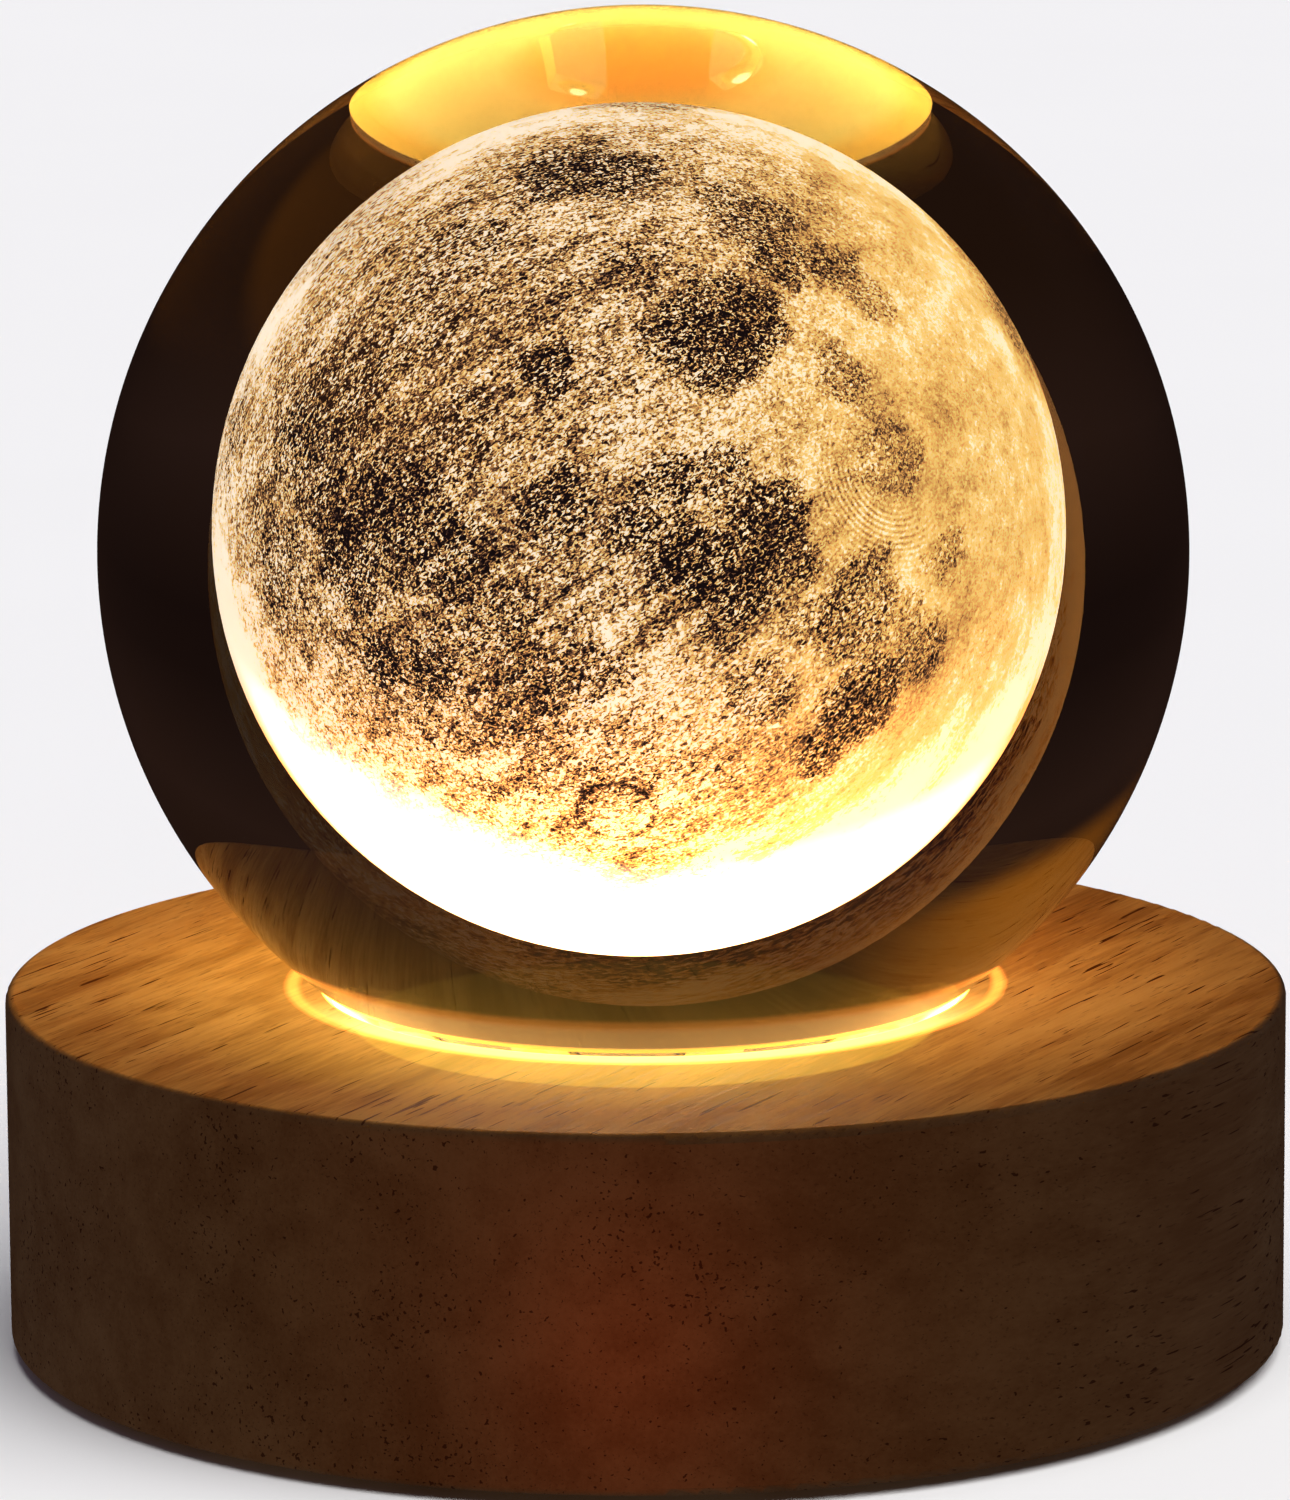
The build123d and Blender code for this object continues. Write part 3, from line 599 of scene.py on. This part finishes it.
def make_white_board():
    # Aluminium-cored board under white solder mask, with copper tracks that show faintly as rings
    material, tree, shader = start_material("white_solder_mask", Coat_Weight=0.3, Coat_Roughness=0.15)
    white = add_surface(tree, shader, "#f2efe4", "#e4dfd0", 1.2, 0.38, 0.01)
    reach = from_axis(tree)
    tracks = [band(tree, reach, circle, 0.25, 0.08) for circle in TRACK_CIRCLES]
    tracks = add_node(tree, "Math", tracks, operation="MAXIMUM")
    colour = add_node(tree, "Mix", {0: tracks, 6: white, 7: "#d8ccb0"}, out=2, data_type="RGBA")
    # Painted light: the board glows warm, as if lit by its own LEDs
    glow = add_node(tree, "VectorMath", [colour, (0.9, 0.62, 0.2)], operation="MULTIPLY")
    feed(tree, shader, Base_Color=colour, Emission_Color=glow, Emission_Strength=1.0)
    return material


def make_led_housing():
    # White polyamide of an LED package, translucent enough to glow, most at the top
    material, tree, shader = start_material("white_polyamide")
    white = add_surface(tree, shader, "#f4f1e8", "#e8e2d2", 0.3, 0.45, 0.01)
    up = add_node(tree, "SeparateXYZ", [in_millimetres(tree)], out="Z")
    board = board_top / MM
    height = add_node(tree, "MapRange", [up, board, board + LED_HEIGHT, 0.0, 1.0])
    glow = add_node(tree, "ValToRGB", [height], ramp=[(0.1, "#ff9c34"), (0.9, "#ffb048")])
    glow = add_node(tree, "VectorMath", [glow, white], operation="MULTIPLY")
    glow = add_node(tree, "VectorMath", {"Vector": glow, "Scale": HOUSING_GLOW}, operation="SCALE")
    feed(tree, shader, Emission_Color=glow, Emission_Strength=1.0)
    return material


def make_phosphor_gel():
    # Silicone with yellow phosphor over the chip: white-hot in the middle, amber towards the cup
    material, tree, shader = start_material("phosphor_gel", Coat_Weight=0.5, Coat_Roughness=0.05)
    yellow = add_surface(tree, shader, "#f3c94a", "#e8b536", 0.2, 0.3, 0.01)
    off_chip = from_axis(tree, LED_PLACES[0])
    for middle in LED_PLACES[1:]:
        off_chip = add_node(tree, "Math", [off_chip, from_axis(tree, middle)], operation="MINIMUM")
    heat = add_node(tree, "MapRange", [off_chip, 0.10, 0.70, 1.0, 0.0], interpolation_type="SMOOTHSTEP")
    glow = add_node(
        tree, "Mix", {0: heat, 6: (10.0, 5.0, 0.8, 1), 7: (50.0, 42.0, 20.0, 1)}, out=2, data_type="RGBA"
    )
    grain = add_node(tree, "Mix", {0: 0.1, 6: glow, 7: yellow}, out=2, data_type="RGBA")
    feed(tree, shader, Emission_Color=grain, Emission_Strength=1.0)
    return material


def make_solder():
    # Tin-silver solder, reflowed: bright, faintly frosted
    material, tree, shader = start_material("reflowed_solder", Metallic=1.0)
    add_surface(tree, shader, "#c6c8ca", "#b4b7ba", 0.4, 0.28, 0.002)
    return material


def make_resistor_body(node, angle):
    # Thick-film resistor: black glaze between two tinned end caps, over white ceramic
    material, tree, shader = start_material(node + "_body")
    low, high = (Vector(corner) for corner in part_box(node))
    glaze = add_surface(tree, shader, "#16161a", "#0c0c10", 0.2, 0.25, 0.008)
    split = add_node(
        tree, "SeparateXYZ", [in_millimetres(tree, (low + high) / 2, (0, 0, radians(angle)))], out="X"
    ).node
    along = add_node(tree, "Math", [split.outputs["X"]], operation="ABSOLUTE")
    cap, glazed = RESISTOR_CAP_PLACE, RESISTOR_GLAZE_LEVEL
    ends = add_node(tree, "MapRange", [along, cap - 0.02, cap + 0.02, 0.0, 1.0])
    sides = add_node(tree, "MapRange", [split.outputs["Z"], glazed - 0.02, glazed + 0.02, 1.0, 0.0])
    colour = add_node(tree, "Mix", {0: sides, 6: glaze, 7: "#e9e6dd"}, out=2, data_type="RGBA")
    colour = add_node(tree, "Mix", {0: ends, 6: colour, 7: "#c2c4c8"}, out=2, data_type="RGBA")
    feed(tree, shader, Base_Color=colour, Metallic=ends)
    return material


def make_zinc_plate():
    # Cold-headed steel screws, zinc plated and blue passivated
    material, tree, shader = start_material("zinc_plated_steel", Metallic=1.0)
    add_surface(tree, shader, "#c9cdd4", "#b2b8c2", 0.8, 0.30, 0.002)
    return material


def make_deep_drawn_steel():
    # Stainless strip folded into a shell: fine drawing lines along its length
    material, tree, shader = start_material("stainless_shell", Metallic=1.0, Anisotropic=0.4)
    add_surface(tree, shader, "#cfd0d0", "#bfc0c2", 1.0, 0.26, 0.001)
    drawn = in_millimetres(tree, stretch=(0.06, 4.0, 0.06))
    lines = add_node(tree, "TexNoise", {"Vector": drawn, "Scale": 1.0, "Detail": 2.0})
    feed(tree, shader, Roughness=add_node(tree, "MapRange", [lines, 0.3, 0.7, 0.18, 0.36]))
    return material


def make_spring_wire():
    # Music wire, drawn and nickel plated
    material, tree, shader = start_material("nickel_plated_wire", Metallic=1.0)
    add_surface(tree, shader, "#bdbbb4", "#a9a7a0", 0.4, 0.22, 0.001)
    return material


def make_gold_flash():
    # Copper alloy contacts with a gold flash over nickel
    material, tree, shader = start_material("gold_flashed_contacts", Metallic=1.0)
    add_surface(tree, shader, "#e8bf5c", "#dab04c", 0.4, 0.22, 0.001)
    return material


def make_moulded_black():
    # ABS from a spark-eroded mould: matt, with a fine pebble
    material, tree, shader = start_material("spark_textured_abs", Specular_IOR_Level=0.4)
    add_surface(tree, shader, "#1d1c1c", "#111111", 0.22, 0.58, 0.03)
    return material


def make_connector_polymer():
    # Glass-filled liquid-crystal polymer round the contacts: smooth and slightly cloudy
    material, tree, shader = start_material("connector_polymer")
    add_surface(tree, shader, "#262628", "#17171a", 0.6, 0.40, 0.006)
    return material


def make_switch_nylon():
    # Unfilled nylon of the plunger, milk white
    material, tree, shader = start_material("switch_nylon", Subsurface_Weight=0.1)
    add_surface(tree, shader, "#e6e2d6", "#d6d0c2", 0.5, 0.42, 0.008)
    return material


def make_button_gloss():
    # Polished ABS cap with faint rings left by turning the mould
    material, tree, shader = start_material("polished_abs", Coat_Weight=0.3, Coat_Roughness=0.1)
    add_surface(tree, shader, "#19191a", "#101011", 0.4, 0.24, 0.003)
    low, high = (Vector(corner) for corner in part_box("button_cap"))
    split = add_node(tree, "SeparateXYZ", [in_millimetres(tree, (low + high) / 2)]).node
    face = add_node(tree, "CombineXYZ", [split.outputs["X"], 0.0, split.outputs["Z"]])
    reach = add_node(tree, "VectorMath", [face], out="Value", operation="LENGTH")
    rings = add_node(tree, "Math", [reach, 2 * pi / FACE_RING_PITCH], operation="MULTIPLY")
    rings = add_node(tree, "Math", [rings], operation="SINE")
    bump = add_node(tree, "Bump", {"Height": rings, "Distance": 0.003 * MM, "Strength": 0.5})
    feed(tree, shader, Normal=bump)
    return material


def make_green_mask():
    # Glass-epoxy board under green solder mask, tinned round the joints; its weave just shows, with
    # a thread every 0.57 mm
    material, tree, shader = start_material("green_solder_mask", Coat_Weight=0.4, Coat_Roughness=0.12)
    green = add_surface(tree, shader, "#1d5a3a", "#164a2f", 2.5, 0.34, 0.01)
    warp, weft = (
        add_node(
            tree, "TexWave",
            {"Vector": in_millimetres(tree, turn=(0, 0, turn)), "Scale": 0.55, "Distortion": 0.6},
        )
        for turn in (0, pi / 2)
    )
    weave = add_node(tree, "Math", [warp, weft], operation="MULTIPLY")
    colour = add_node(tree, "Mix", {0: weave, 6: green, 7: "#236644"}, out=2, data_type="RGBA")
    tin = 0.0
    for across in PADS_ACROSS:
        reach = from_axis(tree, (across * MM, PADS_BACK * MM, 0))
        pad = add_node(tree, "MapRange", [reach, PAD_RADIUS, PAD_RADIUS + 0.1, 1.0, 0.0])
        tin = add_node(tree, "Math", [tin, pad], operation="MAXIMUM")
    colour = add_node(tree, "Mix", {0: tin, 6: colour, 7: "#c4c6c8"}, out=2, data_type="RGBA")
    feed(tree, shader, Base_Color=colour, Metallic=tin)
    return material


def make_lead_sleeve(name, first, second):
    # Extruded PVC sleeve of a hook-up wire
    material, tree, shader = start_material(name)
    add_surface(tree, shader, first, second, 0.8, 0.36, 0.008)
    return material


def make_cover_board():
    # Pressed ABS sheet, leather grain outside
    material, tree, shader = start_material("leather_grained_abs", Specular_IOR_Level=0.4)
    black = add_surface(tree, shader, "#1b1a19", "#100f0f", 0.5, 0.62, 0.01)
    cells = add_node(
        tree, "TexVoronoi", {"Vector": in_millimetres(tree, stretch=(0.8, 0.8, 0.8)), "Scale": 1.0},
        out="Distance", feature="DISTANCE_TO_EDGE",
    )
    shaded_crease = add_node(tree, "MapRange", [cells, 0.0, 0.12, 0.0, 1.0], interpolation_type="SMOOTHSTEP")
    # Painted shade: the creases between the grain's cells are darker; the same crease mask also gives the
    # relief
    colour = add_node(tree, "Mix", {0: shaded_crease, 6: "#0a0a0a", 7: black}, out=2, data_type="RGBA")
    bump = add_node(tree, "Bump", {"Height": shaded_crease, "Distance": 0.05 * MM, "Strength": 0.6})
    feed(tree, shader, Base_Color=colour, Normal=bump)
    return material


def make_foot_rubber():
    # Die-cut rubber sheet, dusty from the talc it is stored in
    material, tree, shader = start_material("die_cut_rubber", Specular_IOR_Level=0.3)
    rubber = add_surface(tree, shader, "#2b2a29", "#1d1c1c", 0.3, 0.80, 0.02)
    place = in_millimetres(tree, stretch=(1.6, 1.6, 1.6))
    dust = add_node(tree, "TexNoise", {"Vector": place, "Scale": 1.0, "Detail": 4.0})
    dust = add_node(tree, "MapRange", [dust, 0.55, 0.80, 0.0, 0.35])
    colour = add_node(tree, "Mix", {0: dust, 6: rubber, 7: "#8a8683"}, out=2, data_type="RGBA")
    feed(tree, shader, Base_Color=colour)
    return material


# Pieces

glass = make_optical_glass()
ball = new_piece(
    "glass_ball",
    lambda shape: bmesh.ops.create_icosphere(
        shape, subdivisions=7, radius=ball_radius, matrix=Matrix.Translation(ball_centre)
    ),
    glass, "ball",
)
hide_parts("crystal_ball")

dress("engraved_moon", make_laser_engraving())
dress("wooden_base", make_turned_wood())
dress("led_board", make_white_board())
led_housing = make_led_housing()
for name in LED_NAMES:
    dress(name, led_housing)
for name, angle in RESISTOR_ANGLES.items():
    dress(name, make_resistor_body(name, angle))
moulded_black = make_moulded_black()
dress("rear_plate", moulded_black)
dress("switch_housing", moulded_black)
dress("rear_board", make_green_mask())
dress("usb_shell", make_deep_drawn_steel())
dress("usb_insulator", make_connector_polymer())
dress("usb_contacts", make_gold_flash())
dress("switch_plunger", make_switch_nylon())
dress("button_cap", make_button_gloss())
dress("wire_red", make_lead_sleeve("red_sleeve", "#a81f1c", "#8c1614"))
dress("wire_black", make_lead_sleeve("black_sleeve", "#1a1a1b", "#101011"))
dress("base_cover", make_cover_board())
foot_rubber = make_foot_rubber()
for name in ("foot_1", "foot_2", "foot_3", "foot_4"):
    dress(name, foot_rubber)


def lathe(name, points, segments=32, cross=None):
    """A mesh turned from a half profile of (radius, height) points, in millimetres.

    A screw's profile starts at the rim of its flat top, at height zero, and its top is closed
    round a cross of (half span, half width of an arm, depth) that narrows as it goes down.
    """
    shape = bmesh.new()
    corners = [shape.verts.new((reach * MM, 0, height * MM)) for reach, height in points]
    edges = [shape.edges.new(pair) for pair in zip(corners, corners[1:])]
    bmesh.ops.spin(
        shape, geom=corners + edges, cent=(0, 0, 0), axis=(0, 0, 1), angle=2 * pi, steps=segments,
        use_merge=True,
    )
    bmesh.ops.remove_doubles(shape, verts=shape.verts, dist=1e-7)
    if cross:
        span, arm, depth = cross
        outline = [
            Matrix.Rotation(quarter * pi / 2, 2) @ Vector(corner)
            for quarter in range(4) for corner in ((span, -arm), (span, arm), (arm, arm))
        ]
        top = [shape.verts.new((x * MM, y * MM, 0)) for x, y in outline]
        low = [shape.verts.new((x / 2 * MM, y / 2 * MM, -depth * MM)) for x, y in outline]
        for here in range(len(outline)):
            shape.faces.new((top[here], top[here - 1], low[here - 1], low[here]))
        for level in (0, -depth * MM):
            edges = [
                edge for edge in shape.edges
                if edge.is_boundary and all(abs(vert.co.z - level) < 1e-8 for vert in edge.verts)
            ]
            bmesh.ops.triangle_fill(shape, use_beauty=True, edges=edges)
    bmesh.ops.recalc_face_normals(shape, faces=shape.faces)
    mesh = bpy.data.meshes.new(name)
    shape.to_mesh(mesh)
    shape.free()
    return mesh


def add_copies(shape, mesh, matrices):
    """Adds a mesh to the shape once for every place."""
    for matrix in matrices:
        start = len(shape.verts)
        shape.from_mesh(mesh)
        shape.verts.ensure_lookup_table()
        bmesh.ops.transform(shape, matrix=matrix, verts=shape.verts[start:])


def fill_gels(shape):
    """A dome of gel in the cup of every LED."""
    dome = ((0, 0.01), (0.95, 0.01), (1.17, 0.39), (0.95, 0.46), (0.6, 0.53), (0.3, 0.56), (0, 0.57))
    gel = lathe("gel", dome, 24)
    add_copies(shape, gel, [
        Matrix.Translation((middle.x, middle.y, board_top + (LED_HEIGHT - LED_CUP_DEPTH) * MM))
        for middle in LED_PLACES
    ])


def fill_joints(shape):
    """A concave fillet of solder at both ends of every LED and resistor."""
    places = [(middle, angle, LED_JOINT) for middle, angle in zip(LED_PLACES, LED_ANGLES)]
    for node, angle in RESISTOR_ANGLES.items():
        low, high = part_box(node)
        places.append(((Vector(low) + Vector(high)) / 2, angle, RESISTOR_JOINT))
    for middle, angle, (half_length, half_width, rise) in places:
        profile = ((0, 0.005), (0, rise), (0.12, 0.52 * rise), (0.28, 0.2 * rise), (0.5, 0.005))
        for end in (0, 180):
            start = len(shape.verts)
            corners = [
                shape.verts.new(((half_length + out) * MM, -half_width * MM, up * MM)) for out, up in profile
            ]
            side = shape.faces.new(corners)
            pushed = bmesh.ops.extrude_face_region(shape, geom=[side], use_keep_orig=True)["geom"]
            bmesh.ops.translate(
                shape, vec=(0, 2 * half_width * MM, 0),
                verts=[item for item in pushed if isinstance(item, bmesh.types.BMVert)],
            )
            shape.verts.ensure_lookup_table()
            turn = Matrix.Rotation(radians(angle + end), 4, "Z")
            bmesh.ops.transform(
                shape, verts=shape.verts[start:],
                matrix=Matrix.Translation((middle.x, middle.y, board_top)) @ turn,
            )


def pan_head_screw(length):
    """The mesh of one screw, from its flat top down to its tip."""
    return lathe(
        "pan_head_screw",
        ((1.5, 0), (1.62, -0.03), (1.80, -0.14), (1.88, -0.30), (1.90, -0.45), (1.90, -1.20), (0.98, -1.20),
         (0.98, 1.1 - length), (0, -length)),
        36, (0.95, 0.22, 0.6),
    )


def place_board_screws(shape):
    """Three screws, heads up, round the middle of the LED board."""
    low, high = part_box("board_screws")
    add_copies(shape, pan_head_screw((high[2] - low[2]) / MM), [
        Matrix.Rotation(radians(angle), 4, "Z") @ Matrix.Translation((BOARD_SCREW_CIRCLE * MM, 0, high[2]))
        @ Matrix.Rotation(radians(HEAD_TURN_SHARE * angle), 4, "Z")
        for angle in BOARD_SCREW_ANGLES
    ])


def place_rear_screws(shape):
    """Two screws, heads down, at the sides of the rear board."""
    low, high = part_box("rear_board_screws")
    add_copies(shape, pan_head_screw((high[2] - low[2]) / MM), [
        Matrix.Translation((side * (high[0] - SCREW_HEAD_RADIUS * MM), (low[1] + high[1]) / 2, low[2]))
        @ Matrix.Rotation(pi, 4, "X") @ Matrix.Rotation(REAR_HEAD_TURN * side, 4, "Z")
        for side in (-1, 1)
    ])


def place_cover_screws(shape):
    """Three countersunk screws, heads down, round the cover."""
    low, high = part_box("cover_screws")
    length = (high[2] - low[2]) / MM
    screw = lathe(
        "countersunk_screw",
        ((1.75, 0), (1.84, -0.02), (1.90, -0.10), (1.08, -1.10), (1.08, 1.3 - length), (0, -length)),
        36, (1.05, 0.24, 0.7),
    )
    add_copies(shape, screw, [
        Matrix.Rotation(radians(angle), 4, "Z")
        @ Matrix.Translation((-low[1] - SCREW_HEAD_RADIUS * MM, 0, low[2]))
        @ Matrix.Rotation(pi, 4, "X") @ Matrix.Rotation(radians(HEAD_TURN_SHARE * angle), 4, "Z")
        for angle in COVER_SCREW_ANGLES
    ])


def wind_spring(shape):
    """One closed tube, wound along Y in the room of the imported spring."""
    low, high = (Vector(corner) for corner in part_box("switch_spring"))
    middle = (low + high) / 2
    wire = SPRING_WIRE / 2 * MM
    reach = (high.x - low.x) / 2 - wire
    start, end = low.y + wire, high.y - wire
    steps = SPRING_TURNS * STEPS_A_TURN
    rings = []
    for step in range(steps + 1):
        place = Vector((middle.x, start + (end - start) * step / steps, middle.z))
        turn = Matrix.Rotation(-2 * pi * step / STEPS_A_TURN, 4, "Y")
        rings.append(bmesh.ops.create_circle(
            shape, segments=SIDES_OF_WIRE, radius=wire,
            matrix=Matrix.Translation(place) @ turn @ Matrix.Translation((reach, 0, 0)),
        )["verts"])
    for last, ring in zip(rings, rings[1:]):
        for side in range(SIDES_OF_WIRE):
            shape.faces.new((last[side], last[side - 1], ring[side - 1], ring[side]))
    shape.faces.new(rings[0])
    shape.faces.new(rings[-1])


new_piece("phosphor_gels", fill_gels, make_phosphor_gel(), "base")
new_piece("solder_fillets", fill_joints, make_solder(), "base", smooth=False)
zinc_plate = make_zinc_plate()
for node, name, maker in (
    ("board_screws", "cross_head_board_screws", place_board_screws),
    ("rear_board_screws", "cross_head_rear_screws", place_rear_screws),
    ("cover_screws", "cross_head_cover_screws", place_cover_screws),
):
    screws = new_piece(name, maker, zinc_plate, "base", smooth=False)
    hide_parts(node)
return_spring = new_piece("return_spring", wind_spring, make_spring_wire(), "base")
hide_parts("switch_spring")
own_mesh(return_spring)


# Floor, light and camera

def make_floor():
    # Matt studio floor, painted pale, with a faint grain
    material, tree, shader = start_material("studio_floor", Roughness=0.9, Specular_IOR_Level=0.0)
    grain = add_node(
        tree, "TexNoise", {"Vector": in_millimetres(tree, stretch=(60, 60, 60)), "Scale": 1.0, "Detail": 2.0}
    )
    colour = add_node(tree, "Mix", {0: grain, 6: "#f0efed", 7: "#f3f2f0"}, out=2, data_type="RGBA")
    feed(tree, shader, Base_Color=colour)
    floor = new_piece(
        "floor", lambda shape: bmesh.ops.create_grid(shape, x_segments=1, y_segments=1, size=4.0),
        material, None,
    )
    floor.visible_diffuse = False
    floor.visible_glossy = False
    floor.visible_transmission = False
    return floor


def group(name, pieces):
    """A collection of the pieces that a light is kept to."""
    collection = bpy.data.collections.new(name)
    for piece in pieces:
        collection.objects.link(piece)
    return collection


def new_light(name, kind, energy, colour, place, receivers, aim=None, mirrored=False, **settings):
    """A light that only the receivers take."""
    lamp = bpy.data.lights.new(name, kind)
    lamp.energy = energy
    lamp.color = linear(colour)[:3]
    for setting, value in settings.items():
        setattr(lamp, setting, value)
    light = bpy.data.objects.new(name, lamp)
    light.location = place
    if aim is not None:
        light.rotation_euler = (Vector(aim) - Vector(place)).to_track_quat("-Z", "Y").to_euler()
    bpy.context.scene.collection.objects.link(light)
    light.light_linking.receiver_collection = group("lit_by_" + name, receivers)
    light.visible_glossy = mirrored
    light.visible_transmission = False
    light.visible_camera = False
    return light


floor = make_floor()
wood_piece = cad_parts["wooden_base"]
new_light("floor_light", "SUN", 3.2, "#ffffff", (0.6, -0.6, 2), [floor], aim=(0, 0, 0), angle=radians(60))
moon_glow = new_light(
    "moon_glow", "POINT", 0.043, "#ffd07a", MOON_GLOW_PLACE, [wood_piece], shadow_soft_size=12 * MM,
)
moon_glow.light_linking.blocker_collection = group("shades_the_moon_glow", [wood_piece])
new_light(
    "low_glow", "POINT", 0.0005, "#ff5c10", LOW_GLOW_PLACE, [wood_piece], shadow_soft_size=4 * MM,
)
small_parts = [
    piece for name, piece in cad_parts.items()
    if name not in ("crystal_ball", "engraved_moon", "wooden_base")
]
new_light(
    "rear_light", "AREA", 1.6, "#ffffff", (0.15, 0.5, 0.25), small_parts, aim=(0, 0, 0), mirrored=True,
    size=0.4,
)


def make_world():
    """A pale backdrop for the camera; a dark room, amber up on one side, for what the glass and
    the metal show; and dim light for the wood, cool round the sides and warm from the front."""
    world = bpy.data.worlds.new("studio")
    world.use_nodes = True
    tree = world.node_tree
    background = next(node for node in tree.nodes if node.type == "BACKGROUND")
    path = add_node(tree, "LightPath", out="Is Camera Ray").node
    mirrored = [path.outputs["Is Glossy Ray"], path.outputs["Is Transmission Ray"]]
    mirrored = add_node(tree, "Math", mirrored, operation="MAXIMUM")
    toward = add_node(tree, "SeparateXYZ", [add_node(tree, "TexCoord", out="Generated")], out="Y")
    warm = add_node(tree, "MapRange", [toward, -0.2, -0.95, 0.0, 1.0])
    dim = add_node(
        tree, "Mix", {0: warm, 6: (0.070, 0.075, 0.135, 1), 7: (0.088, 0.046, 0.020, 1)}, out=2,
        data_type="RGBA",
    )
    across, up = toward.node.outputs["X"], toward.node.outputs["Z"]
    steep = add_node(tree, "Math", [up], operation="ABSOLUTE")
    dark = add_node(
        tree, "ValToRGB", [steep], ramp=[(0.05, "#140b09"), (0.30, "#261813"), (0.55, "#1e110a")]
    )
    amber_side = add_node(
        tree, "MapRange", [across, -0.25, -0.66, 0.0, 1.0], interpolation_type="SMOOTHSTEP"
    )
    amber_height = add_node(
        tree, "MapRange", [up, 0.36, 0.46, 0.0, 1.0], interpolation_type="SMOOTHSTEP"
    )
    amber = add_node(tree, "Math", [amber_side, amber_height], operation="MULTIPLY")
    dark = add_node(tree, "Mix", {0: amber, 6: dark, 7: (0.26, 0.082, 0.005, 1)}, out=2, data_type="RGBA")
    room = add_node(tree, "Mix", {0: mirrored, 6: dim, 7: dark}, out=2, data_type="RGBA")
    colour = add_node(
        tree, "Mix", {0: path.outputs["Is Camera Ray"], 6: room, 7: "#f4f3f1"}, out=2, data_type="RGBA"
    )
    tree.links.new(colour, background.inputs["Color"])
    bpy.context.scene.world = world


def make_camera():
    """The camera that took the photograph, as fitted."""
    data = bpy.data.cameras.new("camera")
    data.sensor_fit = "HORIZONTAL"
    data.sensor_width = SENSOR_WIDTH
    data.lens = FOCAL_PIXELS / PHOTO_WIDTH * SENSOR_WIDTH
    data.clip_start = 0.01
    camera = bpy.data.objects.new("camera", data)
    camera.matrix_world = (
        Matrix.Translation(CAMERA_PLACE)
        @ Euler((pi / 2 - CAMERA_PITCH, 0, 0)).to_matrix().to_4x4()
        @ Matrix.Rotation(CAMERA_ROLL, 4, "Z")
    )
    bpy.context.scene.collection.objects.link(camera)
    bpy.context.scene.camera = camera


make_world()
make_camera()
bpy.context.scene.view_settings.view_transform = "Standard"
